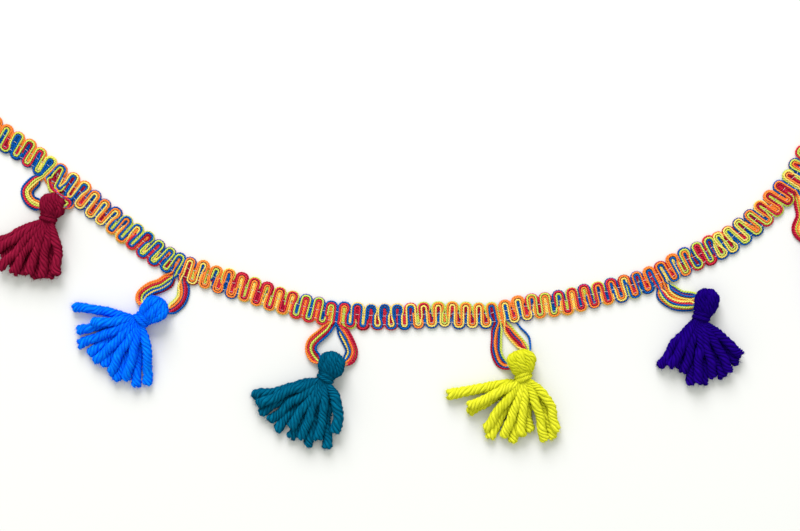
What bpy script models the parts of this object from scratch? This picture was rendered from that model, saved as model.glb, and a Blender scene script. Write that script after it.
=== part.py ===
"""A length of tassel trim that lies flat in a shallow swag.

The trim is a scalloped braid. Every twelfth lower scallop runs on as a hanging loop, and a yarn
tassel is folded over each loop and tied round its neck. Lengths in the tables are millimetres, and
the scene is in metres, +Z up. The origin is on the braid's underside, on its centre line, at the
bottom of the swag, and everything rests on the plane z = 0.
"""

import math
from typing import NamedTuple

import bmesh
import bpy
import numpy as np
from mathutils import Matrix, Vector

MM = 0.001
GAP = 0.3

# The braid: a flat band of bends, with a scallop over each bend on both edges.
BRAID_WIDTH = 11.2
BRAID_THICKNESS = 2.4
SCALLOP_COUNT = 72
SCALLOP_DEPTH = 1.2
SCALLOP_STATIONS = (-0.5, -0.32, 0.0, 0.32)
FIRST_LOOP_AFTER = 7
LOOP_EVERY = 12

# The loops: flat bands of eight strands, narrow at the braid and inside the tassel's head.
STRAND_BAND_WIDTH = 3.6
STRAND_BAND_THICKNESS = 1.9
BAND_SIDES = 6
SPREAD_AT_ENDS = 0.55
SPREAD_IN_HEAD = 0.62
LOOP_HEIGHT_AT_BRAID = 1.2
LOOP_HEIGHT_IN_HEAD = 4.1
LOOP_STEPS = 2

# The tassels: a folded head, a tied neck and a fan of thick yarn ends.
HEAD_HEIGHT = 4.2
HEAD_HALF_THICKNESS = 4.4
HEAD_SEGMENTS = 10
HEAD_RINGS = 6
NECK_HEIGHT = 3.7
NECK_RADIUS = 2.25
NECK_SIDES = 8
TIE_RADIUS = 3.55
TIE_YARN_RADIUS = 0.95
TIE_HALF_LENGTH = 1.5
TIE_FLATNESS = 0.8
TIE_SEGMENTS = 12
TIE_SIDES = 5
FAN_START = 2.0
FAN_ROOT_RADIUS = 2.1
YARN_RADIUS = 1.9
YARN_SIDES = 6


class Place(NamedTuple):
    """A point of a route on the surface."""

    x: float
    y: float


class YarnEnd(NamedTuple):
    """One lock of the fan: its direction from +X, its length from the tie and how wide it ends."""

    bearing: float
    reach: float
    width: float


class Tassel(NamedTuple):
    """One tassel, with its places counted from where its loop leaves the braid."""

    name: str
    colour: tuple
    tie: Place
    head: Place
    head_half_width: float
    head_half_length: float
    loop: tuple
    fan: tuple


SWAG = (
    Place(-184.2, 87.5),
    Place(-172, 78.6),
    Place(-156, 67.5),
    Place(-142, 56.5),
    Place(-128, 45),
    Place(-114, 34.2),
    Place(-100, 24.5),
    Place(-90, 19.8),
    Place(-68, 12.5),
    Place(-51, 6.6),
    Place(-34, 2.2),
    Place(-17, 0.2),
    Place(0, 0),
    Place(17, 0.8),
    Place(36, 0.6),
    Place(53, 3.6),
    Place(70, 6.1),
    Place(88, 10.2),
    Place(104.5, 14.8),
    Place(120, 22.2),
    Place(136, 29.6),
    Place(146, 35.5),
    Place(154, 42),
    Place(162, 50),
    Place(170, 60),
    Place(176, 69.5),
    Place(183.5, 82),
)

TASSELS = (
    Tassel(
        name="maroon",
        colour=(0.235, 0.010, 0.030),
        tie=Place(3.0, -17.4),
        head=Place(4.7, -12.2),
        head_half_width=5.6,
        head_half_length=5.0,
        loop=(
            Place(-1.4, -0.2),
            Place(-5.2, -3.6),
            Place(-6.8, -6.6),
            Place(-5.4, -10.0),
            Place(-1.4, -12.0),
            Place(4.7, -12.6),
            Place(9.2, -11.6),
            Place(8.6, -8.6),
            Place(4.8, -5.4),
            Place(1.6, -1.6),
        ),
        fan=(
            YarnEnd(205, 26.5, 4.0),
            YarnEnd(216, 28.5, 5.2),
            YarnEnd(226, 30.0, 5.2),
            YarnEnd(236, 28.5, 5.2),
            YarnEnd(246, 27.0, 5.0),
            YarnEnd(256, 27.0, 5.0),
            YarnEnd(267, 26.5, 5.0),
            YarnEnd(277, 25.5, 4.2),
        ),
    ),
    Tassel(
        name="sky",
        colour=(0.0, 0.165, 0.871),
        tie=Place(-14.0, -18.4),
        head=Place(-9.0, -14.1),
        head_half_width=5.9,
        head_half_length=5.4,
        loop=(
            Place(-1.4, -0.2),
            Place(-5.6, -3.2),
            Place(-10.8, -5.4),
            Place(-14.4, -8.2),
            Place(-14.0, -11.6),
            Place(-9.0, -14.1),
            Place(-2.8, -14.4),
            Place(1.8, -11.2),
            Place(3.4, -6.6),
            Place(1.7, -1.0),
        ),
        fan=(
            YarnEnd(169, 30.6, 3.9),
            YarnEnd(187, 26.5, 5.4),
            YarnEnd(201, 30.5, 4.2),
            YarnEnd(213, 28.0, 5.4),
            YarnEnd(225, 28.0, 5.4),
            YarnEnd(237, 27.0, 5.0),
            YarnEnd(251, 28.5, 5.6),
            YarnEnd(263, 29.5, 5.2),
            YarnEnd(273, 28.8, 4.4),
        ),
    ),
    Tassel(
        name="teal",
        colour=(0.0, 0.114, 0.205),
        tie=Place(-3.8, -22.6),
        head=Place(-1.2, -17.0),
        head_half_width=5.9,
        head_half_length=5.1,
        loop=(
            Place(-1.6, 0.0),
            Place(-5.8, -4.0),
            Place(-9.9, -8.0),
            Place(-10.2, -11.8),
            Place(-7.2, -15.4),
            Place(-1.2, -17.0),
            Place(5.0, -15.9),
            Place(7.4, -11.8),
            Place(5.6, -6.6),
            Place(1.6, -0.3),
        ),
        fan=(
            YarnEnd(196, 32.4, 5.2),
            YarnEnd(207, 31.8, 4.6),
            YarnEnd(218, 31.3, 4.4),
            YarnEnd(228, 31.2, 4.6),
            YarnEnd(242, 29.8, 6.0),
            YarnEnd(255, 30.6, 5.2),
            YarnEnd(264, 27.6, 4.4),
            YarnEnd(272, 30.5, 4.4),
            YarnEnd(282, 24.6, 5.8),
        ),
    ),
    Tassel(
        name="chartreuse",
        colour=(0.739, 0.715, 0.006),
        tie=Place(9.3, -22.5),
        head=Place(8.4, -16.5),
        head_half_width=6.2,
        head_half_length=5.3,
        loop=(
            Place(-1.6, -0.3),
            Place(-2.2, -6.8),
            Place(-2.0, -12.4),
            Place(0.0, -16.8),
            Place(3.8, -18.4),
            Place(8.4, -16.6),
            Place(11.0, -12.4),
            Place(8.6, -8.2),
            Place(5.0, -4.2),
            Place(1.6, 0.1),
        ),
        fan=(
            YarnEnd(194, 33.4, 4.8),
            YarnEnd(213, 28.3, 5.6),
            YarnEnd(234, 29.0, 5.2),
            YarnEnd(245, 30.0, 4.8),
            YarnEnd(259, 28.5, 6.0),
            YarnEnd(274, 25.0, 5.4),
            YarnEnd(290, 29.2, 5.2),
            YarnEnd(301, 28.5, 5.0),
        ),
    ),
    Tassel(
        name="violet",
        colour=(0.026, 0.0, 0.304),
        tie=Place(16.4, -13.4),
        head=Place(18.6, -7.3),
        head_half_width=5.1,
        head_half_length=5.8,
        loop=(
            Place(-1.6, -0.8),
            Place(-0.6, -4.8),
            Place(3.4, -8.4),
            Place(9.0, -9.6),
            Place(14.4, -9.2),
            Place(19.4, -8.6),
            Place(20.2, -6.1),
            Place(14.6, -4.4),
            Place(8.4, -3.6),
            Place(4.4, -1.2),
            Place(1.8, 1.0),
        ),
        fan=(
            YarnEnd(231, 28.0, 4.4),
            YarnEnd(241, 25.2, 5.0),
            YarnEnd(252, 25.7, 5.4),
            YarnEnd(264, 29.6, 5.6),
            YarnEnd(273, 29.2, 5.0),
            YarnEnd(285, 27.0, 5.6),
            YarnEnd(299, 27.0, 5.4),
            YarnEnd(313, 25.2, 4.8),
        ),
    ),
    Tassel(
        name="lilac",
        colour=(0.262, 0.084, 0.597),
        tie=Place(12.2, -27.0),
        head=Place(9.2, -21.6),
        head_half_width=5.6,
        head_half_length=5.2,
        loop=(
            Place(-1.2, -1.2),
            Place(0.4, -6.4),
            Place(1.0, -11.6),
            Place(-0.6, -17.0),
            Place(3.2, -21.2),
            Place(9.2, -21.8),
            Place(12.8, -17.4),
            Place(10.4, -11.2),
            Place(5.8, -4.2),
            Place(1.3, 0.6),
        ),
        fan=(
            YarnEnd(268, 27.0, 4.6),
            YarnEnd(278, 28.5, 5.0),
            YarnEnd(288, 29.0, 5.2),
            YarnEnd(299, 28.0, 5.2),
            YarnEnd(310, 27.0, 5.0),
            YarnEnd(322, 26.0, 4.6),
        ),
    ),
)


def clear_scene():
    """Remove what the startup file holds."""
    for obj in list(bpy.data.objects):
        bpy.data.objects.remove(obj)


def collection(name):
    """A new collection of the scene."""
    made = bpy.data.collections.new(name)
    bpy.context.scene.collection.children.link(made)
    return made


def yarn_material(name, colour):
    """A matt textile finish in a linear colour."""
    material = bpy.data.materials.new(name)
    material.use_nodes = True
    shader = material.node_tree.nodes["Principled BSDF"]
    shader.inputs["Base Color"].default_value = (*colour, 1.0)
    shader.inputs["Roughness"].default_value = 0.85
    shader.inputs["Metallic"].default_value = 0.0
    return material


def smooth_route(places, steps):
    """Points of a Catmull-Rom curve through the places, with this many steps between two of them."""
    knots = np.array(places, float)
    knots = np.vstack([2 * knots[0] - knots[1], knots, 2 * knots[-1] - knots[-2]])
    points = []
    for before, start, end, after in zip(knots, knots[1:], knots[2:], knots[3:]):
        for t in np.arange(steps) / steps:
            bend = 2 * before - 5 * start + 4 * end - after
            swing = 3 * start - before - 3 * end + after
            points.append(start + 0.5 * ((end - before) * t + bend * t**2 + swing * t**3))
    points.append(knots[-2])
    return np.array(points)


class CentreLine:
    """The braid's centre line, read by the distance run along it."""

    def __init__(self, places):
        self.points = smooth_route(places, 24)
        runs = np.linalg.norm(np.diff(self.points, axis=0), axis=1)
        self.run = np.concatenate([[0.0], np.cumsum(runs)])
        self.length = self.run[-1]

    def point(self, distance):
        """The point this far along, continued straight past either end."""
        inside = np.clip(distance, 0.0, self.length)
        at = [np.interp(inside, self.run, self.points[:, axis]) for axis in (0, 1)]
        return Vector(at)

    def normal(self, distance):
        """The unit vector across the braid, towards its upper edge."""
        along = self.point(distance + 1.5) - self.point(distance - 1.5)
        return Vector((-along.y, along.x)).normalized()

    def beside(self, distance, offset):
        """The point this far along and this far across, upper side positive."""
        return self.point(distance) + self.normal(distance) * offset


CENTRE_LINE = CentreLine(SWAG)
PITCH = CENTRE_LINE.length / SCALLOP_COUNT


def loop_distance(number):
    """How far along the braid the loop with this number leaves it, counted from 0."""
    return (FIRST_LOOP_AFTER + LOOP_EVERY * number) * PITCH


def loop_root(number):
    """Where that loop leaves the braid: in the notch of the scallop that it replaces."""
    notch = BRAID_WIDTH / 2 - SCALLOP_DEPTH
    return CENTRE_LINE.beside(loop_distance(number), -notch - GAP)


def scalloped_edge(side, first, count, left_out, margin):
    """Outline points along one edge, with one scallop for each pitch from the distance first on."""
    points = []
    for number in range(count):
        middle = first + number * PITCH
        flat = any(abs(middle - distance) < 0.1 * PITCH for distance in left_out)
        for station in SCALLOP_STATIONS:
            rise = 0.0 if flat else math.sqrt(1 - (2 * station) ** 2)
            offset = BRAID_WIDTH / 2 - SCALLOP_DEPTH * (1 - rise) + margin
            points.append(CENTRE_LINE.beside(middle + station * PITCH, side * offset))
    return points


def add_curve(name, dimensions, group):
    """An empty curve object in the group."""
    data = bpy.data.curves.new(name, "CURVE")
    data.dimensions = dimensions
    obj = bpy.data.objects.new(name, data)
    group.objects.link(obj)
    return obj


def add_poly_spline(curve, points, radii=None, cyclic=False):
    """Give the curve one POLY spline through points in millimetres."""
    spline = curve.data.splines.new("POLY")
    spline.points.add(len(points) - 1)
    for index, (target, point) in enumerate(zip(spline.points, points)):
        height = point[2] if len(point) > 2 else 0.0
        target.co = (point[0] * MM, point[1] * MM, height * MM, 1.0)
        target.radius = 1.0 if radii is None else radii[index]
    spline.use_cyclic_u = cyclic


def braid_band(name, margin, group):
    """The scalloped band, cut square at both ends and grown by a margin on every side."""
    upper = scalloped_edge(1, PITCH / 2, SCALLOP_COUNT, (), margin)
    loops = [loop_distance(number) for number in range(len(TASSELS))]
    lower = scalloped_edge(-1, PITCH, SCALLOP_COUNT - 1, loops, margin)
    notch = BRAID_WIDTH / 2 - SCALLOP_DEPTH + margin
    ends = [CENTRE_LINE.beside(distance, -notch) for distance in (0.0, CENTRE_LINE.length)]
    closing = [CENTRE_LINE.beside(CENTRE_LINE.length, notch)]
    outline = [ends[0]] + lower + [ends[1]] + closing + upper[::-1]
    band = add_curve(name, "2D", group)
    add_poly_spline(band, outline, cyclic=True)
    band.data.fill_mode = "BOTH"
    band.data.extrude = (BRAID_THICKNESS / 2 + margin) * MM
    band.location.z = BRAID_THICKNESS / 2 * MM
    return band


def as_mesh_object(source, group):
    """Turn an object into a welded mesh object of the same name, in the same place."""
    bpy.context.view_layer.update()
    graph = bpy.context.evaluated_depsgraph_get()
    mesh = bpy.data.meshes.new_from_object(source.evaluated_get(graph))
    work = bmesh.new()
    work.from_mesh(mesh)
    bmesh.ops.remove_doubles(work, verts=work.verts, dist=0.01 * MM)
    bmesh.ops.recalc_face_normals(work, faces=work.faces)
    work.to_mesh(mesh)
    work.free()
    name = source.name
    matrix = source.matrix_world.copy()
    bpy.data.objects.remove(source)
    obj = bpy.data.objects.new(name, mesh)
    obj.matrix_world = matrix
    group.objects.link(obj)
    return obj


def band_section(width, thickness, group):
    """A closed elliptical outline that a loop's band is swept from, left out of the build."""
    section = add_curve("band_section", "2D", group)
    turns = [math.tau * side / BAND_SIDES for side in range(BAND_SIDES)]
    outline = [(math.cos(turn) * width / 2, math.sin(turn) * thickness / 2) for turn in turns]
    add_poly_spline(section, outline, cyclic=True)
    section.hide_render = True
    section.display_type = "WIRE"
    return section


def loop_route(tassel, root):
    """The loop's points with their heights, and the width factor at each of them."""
    flat = smooth_route(tassel.loop, LOOP_STEPS) + np.array(root)
    head = np.array(root) + np.array(tassel.head)
    from_head = np.linalg.norm(flat - head, axis=1)
    points = []
    spreads = []
    last = len(flat) - 1
    for index, (place, distance) in enumerate(zip(flat, from_head)):
        near_head = max(0.0, 1 - distance / (1.9 * tassel.head_half_width)) ** 0.5
        near_end = max(0.0, 1 - min(index, last - index) / 5)
        rise = (LOOP_HEIGHT_IN_HEAD - LOOP_HEIGHT_AT_BRAID) * near_head
        points.append((place[0], place[1], LOOP_HEIGHT_AT_BRAID + rise))
        spread = 1 - (1 - SPREAD_AT_ENDS) * near_end - (1 - SPREAD_IN_HEAD) * near_head
        spreads.append(max(SPREAD_AT_ENDS, spread))
    return points, spreads


def sweep_loop(name, tassel, root, margin, group, helpers):
    """The band along the loop's route, grown by a margin on every side."""
    section = band_section(
        STRAND_BAND_WIDTH + 2 * margin, STRAND_BAND_THICKNESS + 2 * margin, helpers
    )
    band = add_curve(name, "3D", group)
    points, spreads = loop_route(tassel, root)
    half = STRAND_BAND_WIDTH / 2
    radii = [(half * spread + margin) / (half + margin) for spread in spreads]
    add_poly_spline(band, points, radii)
    band.data.twist_mode = "Z_UP"
    band.data.bevel_mode = "OBJECT"
    band.data.bevel_object = section
    band.data.use_fill_caps = True
    swept = as_mesh_object(band, group)
    bpy.data.objects.remove(section)
    return swept


def rest_on_surface(obj):
    """Press flat whatever reaches below the surface."""
    inverse = obj.matrix_world.inverted()
    for vertex in obj.data.vertices:
        place = obj.matrix_world @ vertex.co
        if place.z < 0:
            vertex.co = inverse @ Vector((place.x, place.y, 0.0))


def turned_to(direction):
    """The rotation that takes +Y to a direction in the plane."""
    return Matrix.Rotation(math.atan2(-direction.x, direction.y), 4, "Z")


def mesh_object(name, work, matrix, group):
    """A mesh object from a bmesh that was made in millimetres."""
    work.transform(Matrix.Scale(MM, 4) @ matrix)
    mesh = bpy.data.meshes.new(name)
    work.to_mesh(mesh)
    work.free()
    obj = bpy.data.objects.new(name, mesh)
    group.objects.link(obj)
    return obj


def build_head(name, tassel, root, axis, group):
    """The rounded head, an ellipsoid laid along the tassel's axis."""
    work = bmesh.new()
    bmesh.ops.create_uvsphere(work, u_segments=HEAD_SEGMENTS, v_segments=HEAD_RINGS, radius=1.0)
    size = (tassel.head_half_width, tassel.head_half_length, HEAD_HALF_THICKNESS)
    centre = Vector((*(root + Vector(tassel.head)), HEAD_HEIGHT))
    matrix = Matrix.Translation(centre) @ turned_to(axis) @ Matrix.Diagonal((*size, 1.0))
    head = mesh_object(name, work, matrix, group)
    rest_on_surface(head)
    return head


def build_neck(tassel, root, axis, group):
    """The pinched stretch of yarn that the tie goes round."""
    tie = root + Vector(tassel.tie)
    start = root + Vector(tassel.head)
    end = tie + axis * (TIE_HALF_LENGTH + 2 * GAP + 1.0)
    middle = (start + end) / 2
    work = bmesh.new()
    bmesh.ops.create_cone(
        work,
        cap_ends=True,
        segments=NECK_SIDES,
        radius1=NECK_RADIUS,
        radius2=NECK_RADIUS,
        depth=(end - start).length,
    )
    upright = Matrix.Rotation(math.pi / 2, 4, "X")
    matrix = Matrix.Translation((*middle, NECK_HEIGHT)) @ turned_to(axis) @ upright
    return mesh_object("neck", work, matrix, group)


def build_lock(tassel, root, axis, end, group):
    """One lock of the fan: a tapered length of yarn that comes down to lie on the surface."""
    start = root + Vector(tassel.tie) + axis * FAN_START
    bearing = math.radians(end.bearing)
    tip = root + Vector(tassel.tie) + Vector((math.cos(bearing), math.sin(bearing))) * end.reach
    radius = end.width / 2
    stations = (
        (0.0, NECK_HEIGHT, FAN_ROOT_RADIUS),
        (0.45, 0.9 * YARN_RADIUS + 0.5, 0.5 * (FAN_ROOT_RADIUS + radius)),
        (0.95, 0.8 * YARN_RADIUS, radius),
        (1.0, 0.72 * YARN_RADIUS, 0.72 * radius),
    )
    points = []
    radii = []
    for part, height, half in stations:
        place = start.lerp(tip, part)
        points.append((place.x, place.y, height))
        radii.append(half / YARN_RADIUS)
    lock = add_curve("lock", "3D", group)
    add_poly_spline(lock, points, radii)
    lock.data.twist_mode = "Z_UP"
    lock.data.bevel_depth = YARN_RADIUS * MM
    lock.data.bevel_resolution = (YARN_SIDES - 4) // 2
    lock.data.use_fill_caps = True
    lock = as_mesh_object(lock, group)
    rest_on_surface(lock)
    return lock


def combine(body, other, operation, keep=False):
    """Apply a Boolean to the body and, unless it is kept, remove the other object.

    So many locks cross at the neck that the exact solver leaves open edges there.
    """
    step = body.modifiers.new(operation.lower(), "BOOLEAN")
    step.operation = operation
    step.solver = "MANIFOLD"
    step.object = other
    bpy.context.view_layer.update()
    graph = bpy.context.evaluated_depsgraph_get()
    mesh = bpy.data.meshes.new_from_object(body.evaluated_get(graph))
    body.modifiers.clear()
    body.data = mesh
    if not keep:
        bpy.data.objects.remove(other)


def tie_ring(name, tassel, root, axis, margin, group):
    """The wrap of yarn round the neck, grown by a margin on every side."""
    bpy.ops.mesh.primitive_torus_add(
        major_segments=TIE_SEGMENTS,
        minor_segments=TIE_SIDES,
        major_radius=TIE_RADIUS * MM,
        minor_radius=(TIE_YARN_RADIUS + margin) * MM,
    )
    ring = bpy.context.object
    ring.name = name
    for holder in list(ring.users_collection):
        holder.objects.unlink(ring)
    group.objects.link(ring)
    length = (TIE_HALF_LENGTH + margin) / (TIE_YARN_RADIUS + margin)
    upright = Matrix.Rotation(math.pi / 2, 4, "X")
    flattened = Matrix.Diagonal((1.0, length, TIE_FLATNESS, 1.0))
    centre = Vector((*(root + Vector(tassel.tie)), NECK_HEIGHT)) * MM
    ring.data.transform(Matrix.Translation(centre) @ turned_to(axis) @ flattened @ upright)
    return ring


def build_tassel(number, tassel, braid_room, group, helpers):
    """The loop, the folded yarn and the tie of one tassel."""
    root = loop_root(number)
    axis = (Vector(tassel.tie) - Vector(tassel.head)).normalized()
    place = number + 1
    loop = sweep_loop(f"loop_{place}", tassel, root, 0.0, group, helpers)
    combine(loop, braid_room, "DIFFERENCE", keep=True)
    loop.data.materials.append(yarn_material(f"loop_strands_{place}", (0.60, 0.16, 0.05)))
    yarn = build_head(f"tassel_{place}", tassel, root, axis, group)
    combine(yarn, build_neck(tassel, root, axis, helpers), "UNION")
    for end in tassel.fan:
        combine(yarn, build_lock(tassel, root, axis, end, helpers), "UNION")
    combine(yarn, tie_ring("tie_room", tassel, root, axis, GAP, helpers), "DIFFERENCE")
    combine(yarn, sweep_loop("loop_room", tassel, root, GAP, helpers, helpers), "DIFFERENCE")
    combine(yarn, braid_room, "DIFFERENCE", keep=True)
    tie = tie_ring(f"tie_{place}", tassel, root, axis, 0.0, group)
    finish = yarn_material(f"{tassel.name}_yarn", tassel.colour)
    for obj in (yarn, tie):
        obj.data.materials.clear()
        obj.data.materials.append(finish)
        obj.data.shade_smooth()
        obj.data.set_sharp_from_angle(angle=math.radians(40))


def main():
    """Build the trim."""
    clear_scene()
    group = collection("tassel_trim")
    helpers = collection("cutters")
    braid = braid_band("braid", 0.0, group)
    braid.data.materials.append(yarn_material("braid_strands", (0.68, 0.20, 0.04)))
    braid_room = as_mesh_object(braid_band("braid_room", GAP, helpers), helpers)
    for number, tassel in enumerate(TASSELS):
        build_tassel(number, tassel, braid_room, group, helpers)
    bpy.data.objects.remove(braid_room)
    bpy.context.view_layer.update()


main()
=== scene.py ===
"""Looks of a cut length of tassel trim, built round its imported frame.

Eight two-ply strands run side by side through the braid's bends and, at every twelfth lower bend,
down round a hanging loop. Thick five-ply yarn is folded over each loop and wrapped round its neck.
Routes and sizes are in millimetres, and each finished mesh is in metres.
"""

import logging
import math
from dataclasses import dataclass
from enum import Enum

import bpy
import numpy as np
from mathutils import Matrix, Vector


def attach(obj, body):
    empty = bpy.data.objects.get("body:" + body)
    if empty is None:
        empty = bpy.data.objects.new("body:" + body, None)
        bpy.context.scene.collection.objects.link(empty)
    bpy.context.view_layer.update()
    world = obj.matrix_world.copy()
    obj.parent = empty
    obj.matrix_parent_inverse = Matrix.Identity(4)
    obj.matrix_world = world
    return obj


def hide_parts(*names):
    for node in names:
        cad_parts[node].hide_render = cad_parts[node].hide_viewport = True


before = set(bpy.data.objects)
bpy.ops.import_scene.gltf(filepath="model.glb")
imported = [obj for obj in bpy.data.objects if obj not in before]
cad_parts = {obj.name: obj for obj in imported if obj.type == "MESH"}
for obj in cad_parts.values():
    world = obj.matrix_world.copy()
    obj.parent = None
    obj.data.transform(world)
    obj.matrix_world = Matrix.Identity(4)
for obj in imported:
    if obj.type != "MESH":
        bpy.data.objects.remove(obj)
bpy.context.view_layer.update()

LOG = logging.getLogger("tassel_trim")
MM = 0.001
ALONG_MAP = "along"
SHADE_AND_TONE = "shade_and_tone"
UP = np.array([0.0, 0.0, 1.0])


# Numbers along a route ------------------------------------------------------------------------


def eased(value: np.ndarray | float) -> np.ndarray:
    """A smooth step from 0 at 0 to 1 at 1."""
    held = np.clip(value, 0.0, 1.0)
    return held * held * (3.0 - 2.0 * held)


def wander(run: np.ndarray | float, seed: int, wavelength: float, size: float) -> np.ndarray:
    """A smooth irregularity along a route.

    Args:
        run: the distances along the route, in millimetres.
        seed: which irregularity.
        wavelength: the length of its longest wave, in millimetres.
        size: about how far it goes to either side.

    Returns:
        One value for each distance.
    """
    rng = np.random.default_rng(seed)
    total = np.zeros_like(np.asarray(run, float))
    for part in (1.0, 0.63, 0.41):
        total = total + np.sin(math.tau * (np.asarray(run) / (wavelength * part) + rng.random()))
    return total * size / 2.0


def smooth_route(knots: np.ndarray, steps: int) -> np.ndarray:
    """Points of a Catmull-Rom curve through the knots.

    Args:
        knots: the places it goes through, one a row.
        steps: how many steps it takes between two knots.

    Returns:
        The points, from the first knot to the last.
    """
    held = np.vstack([2 * knots[0] - knots[1], knots, 2 * knots[-1] - knots[-2]])
    parts = np.arange(steps)[:, None] / steps
    spans = []
    for before, start, end, after in zip(held, held[1:], held[2:], held[3:]):
        bend = 2 * before - 5 * start + 4 * end - after
        swing = 3 * start - before - 3 * end + after
        spans.append(start + 0.5 * ((end - before) * parts + bend * parts**2 + swing * parts**3))
    spans.append(knots[-1:])
    return np.vstack(spans)


def runs_of(points: np.ndarray) -> np.ndarray:
    """The distance run at each point of a route."""
    return np.concatenate([[0.0], np.cumsum(np.linalg.norm(np.diff(points, axis=0), axis=1))])


def read_along(places: np.ndarray, run: np.ndarray, rows: np.ndarray) -> np.ndarray:
    """Rows that go with a route, read at other distances along it.

    Args:
        places: the distances wanted.
        run: the distances that the rows belong to.
        rows: one row for each of them.

    Returns:
        One row for each distance wanted.
    """
    return np.column_stack([np.interp(places, run, axis) for axis in rows.T])


def spaced(points: np.ndarray, step: float) -> np.ndarray:
    """The same route with its points evenly spaced.

    Args:
        points: the route.
        step: about how far apart its new points are.

    Returns:
        The new points, both ends included.
    """
    run = runs_of(points)
    places = np.linspace(0.0, run[-1], max(2, round(run[-1] / step) + 1))
    return read_along(places, run, points)


def softened(points: np.ndarray, rounds: int) -> np.ndarray:
    """The route with its corners rounded by averaging each point with its neighbours.

    Args:
        points: the route.
        rounds: how many times it is averaged.

    Returns:
        As many points, with the two ends where they were.
    """
    for _ in range(rounds):
        inner = 0.25 * points[:-2] + 0.5 * points[1:-1] + 0.25 * points[2:]
        points = np.vstack([points[:1], inner, points[-1:]])
    return points


def unit(vectors: np.ndarray) -> np.ndarray:
    """Each vector at length one."""
    return vectors / np.maximum(np.linalg.norm(vectors, axis=-1, keepdims=True), 1e-9)


def carried_frames(points: np.ndarray, first: np.ndarray) -> tuple[np.ndarray, np.ndarray]:
    """Two directions across a route at each point, carried along it without twisting.

    Args:
        points: the route.
        first: about the first direction wanted at its start.

    Returns:
        The two directions at each point. With the route's own they make a right-handed set.
    """
    tangents = unit(np.gradient(points, axis=0))
    across = np.empty_like(points)
    held = np.array(first, float)
    for index, tangent in enumerate(tangents):
        held = held - tangent * held.dot(tangent)
        held = held / max(np.linalg.norm(held), 1e-9)
        across[index] = held
    return across, np.cross(tangents, across)


def upright_frames(points: np.ndarray) -> tuple[np.ndarray, np.ndarray]:
    """The level direction across a route at each point, and the one that is up from it."""
    tangents = unit(np.gradient(points, axis=0))
    side = unit(np.cross(UP, tangents))
    return side, np.cross(tangents, side)


def round_rings(sides: int, first: np.ndarray, second: np.ndarray) -> np.ndarray:
    """Rings of radius one about the origin, across a route.

    Args:
        sides: how many points there are in a ring.
        first: one direction across the route at each point.
        second: the other.

    Returns:
        An array of rings by sides by 3.
    """
    corner = math.tau * np.arange(sides) / sides
    return (
        np.cos(corner)[None, :, None] * first[:, None]
        + np.sin(corner)[None, :, None] * second[:, None]
    )


# Mesh drafts ----------------------------------------------------------------------------------


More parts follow.
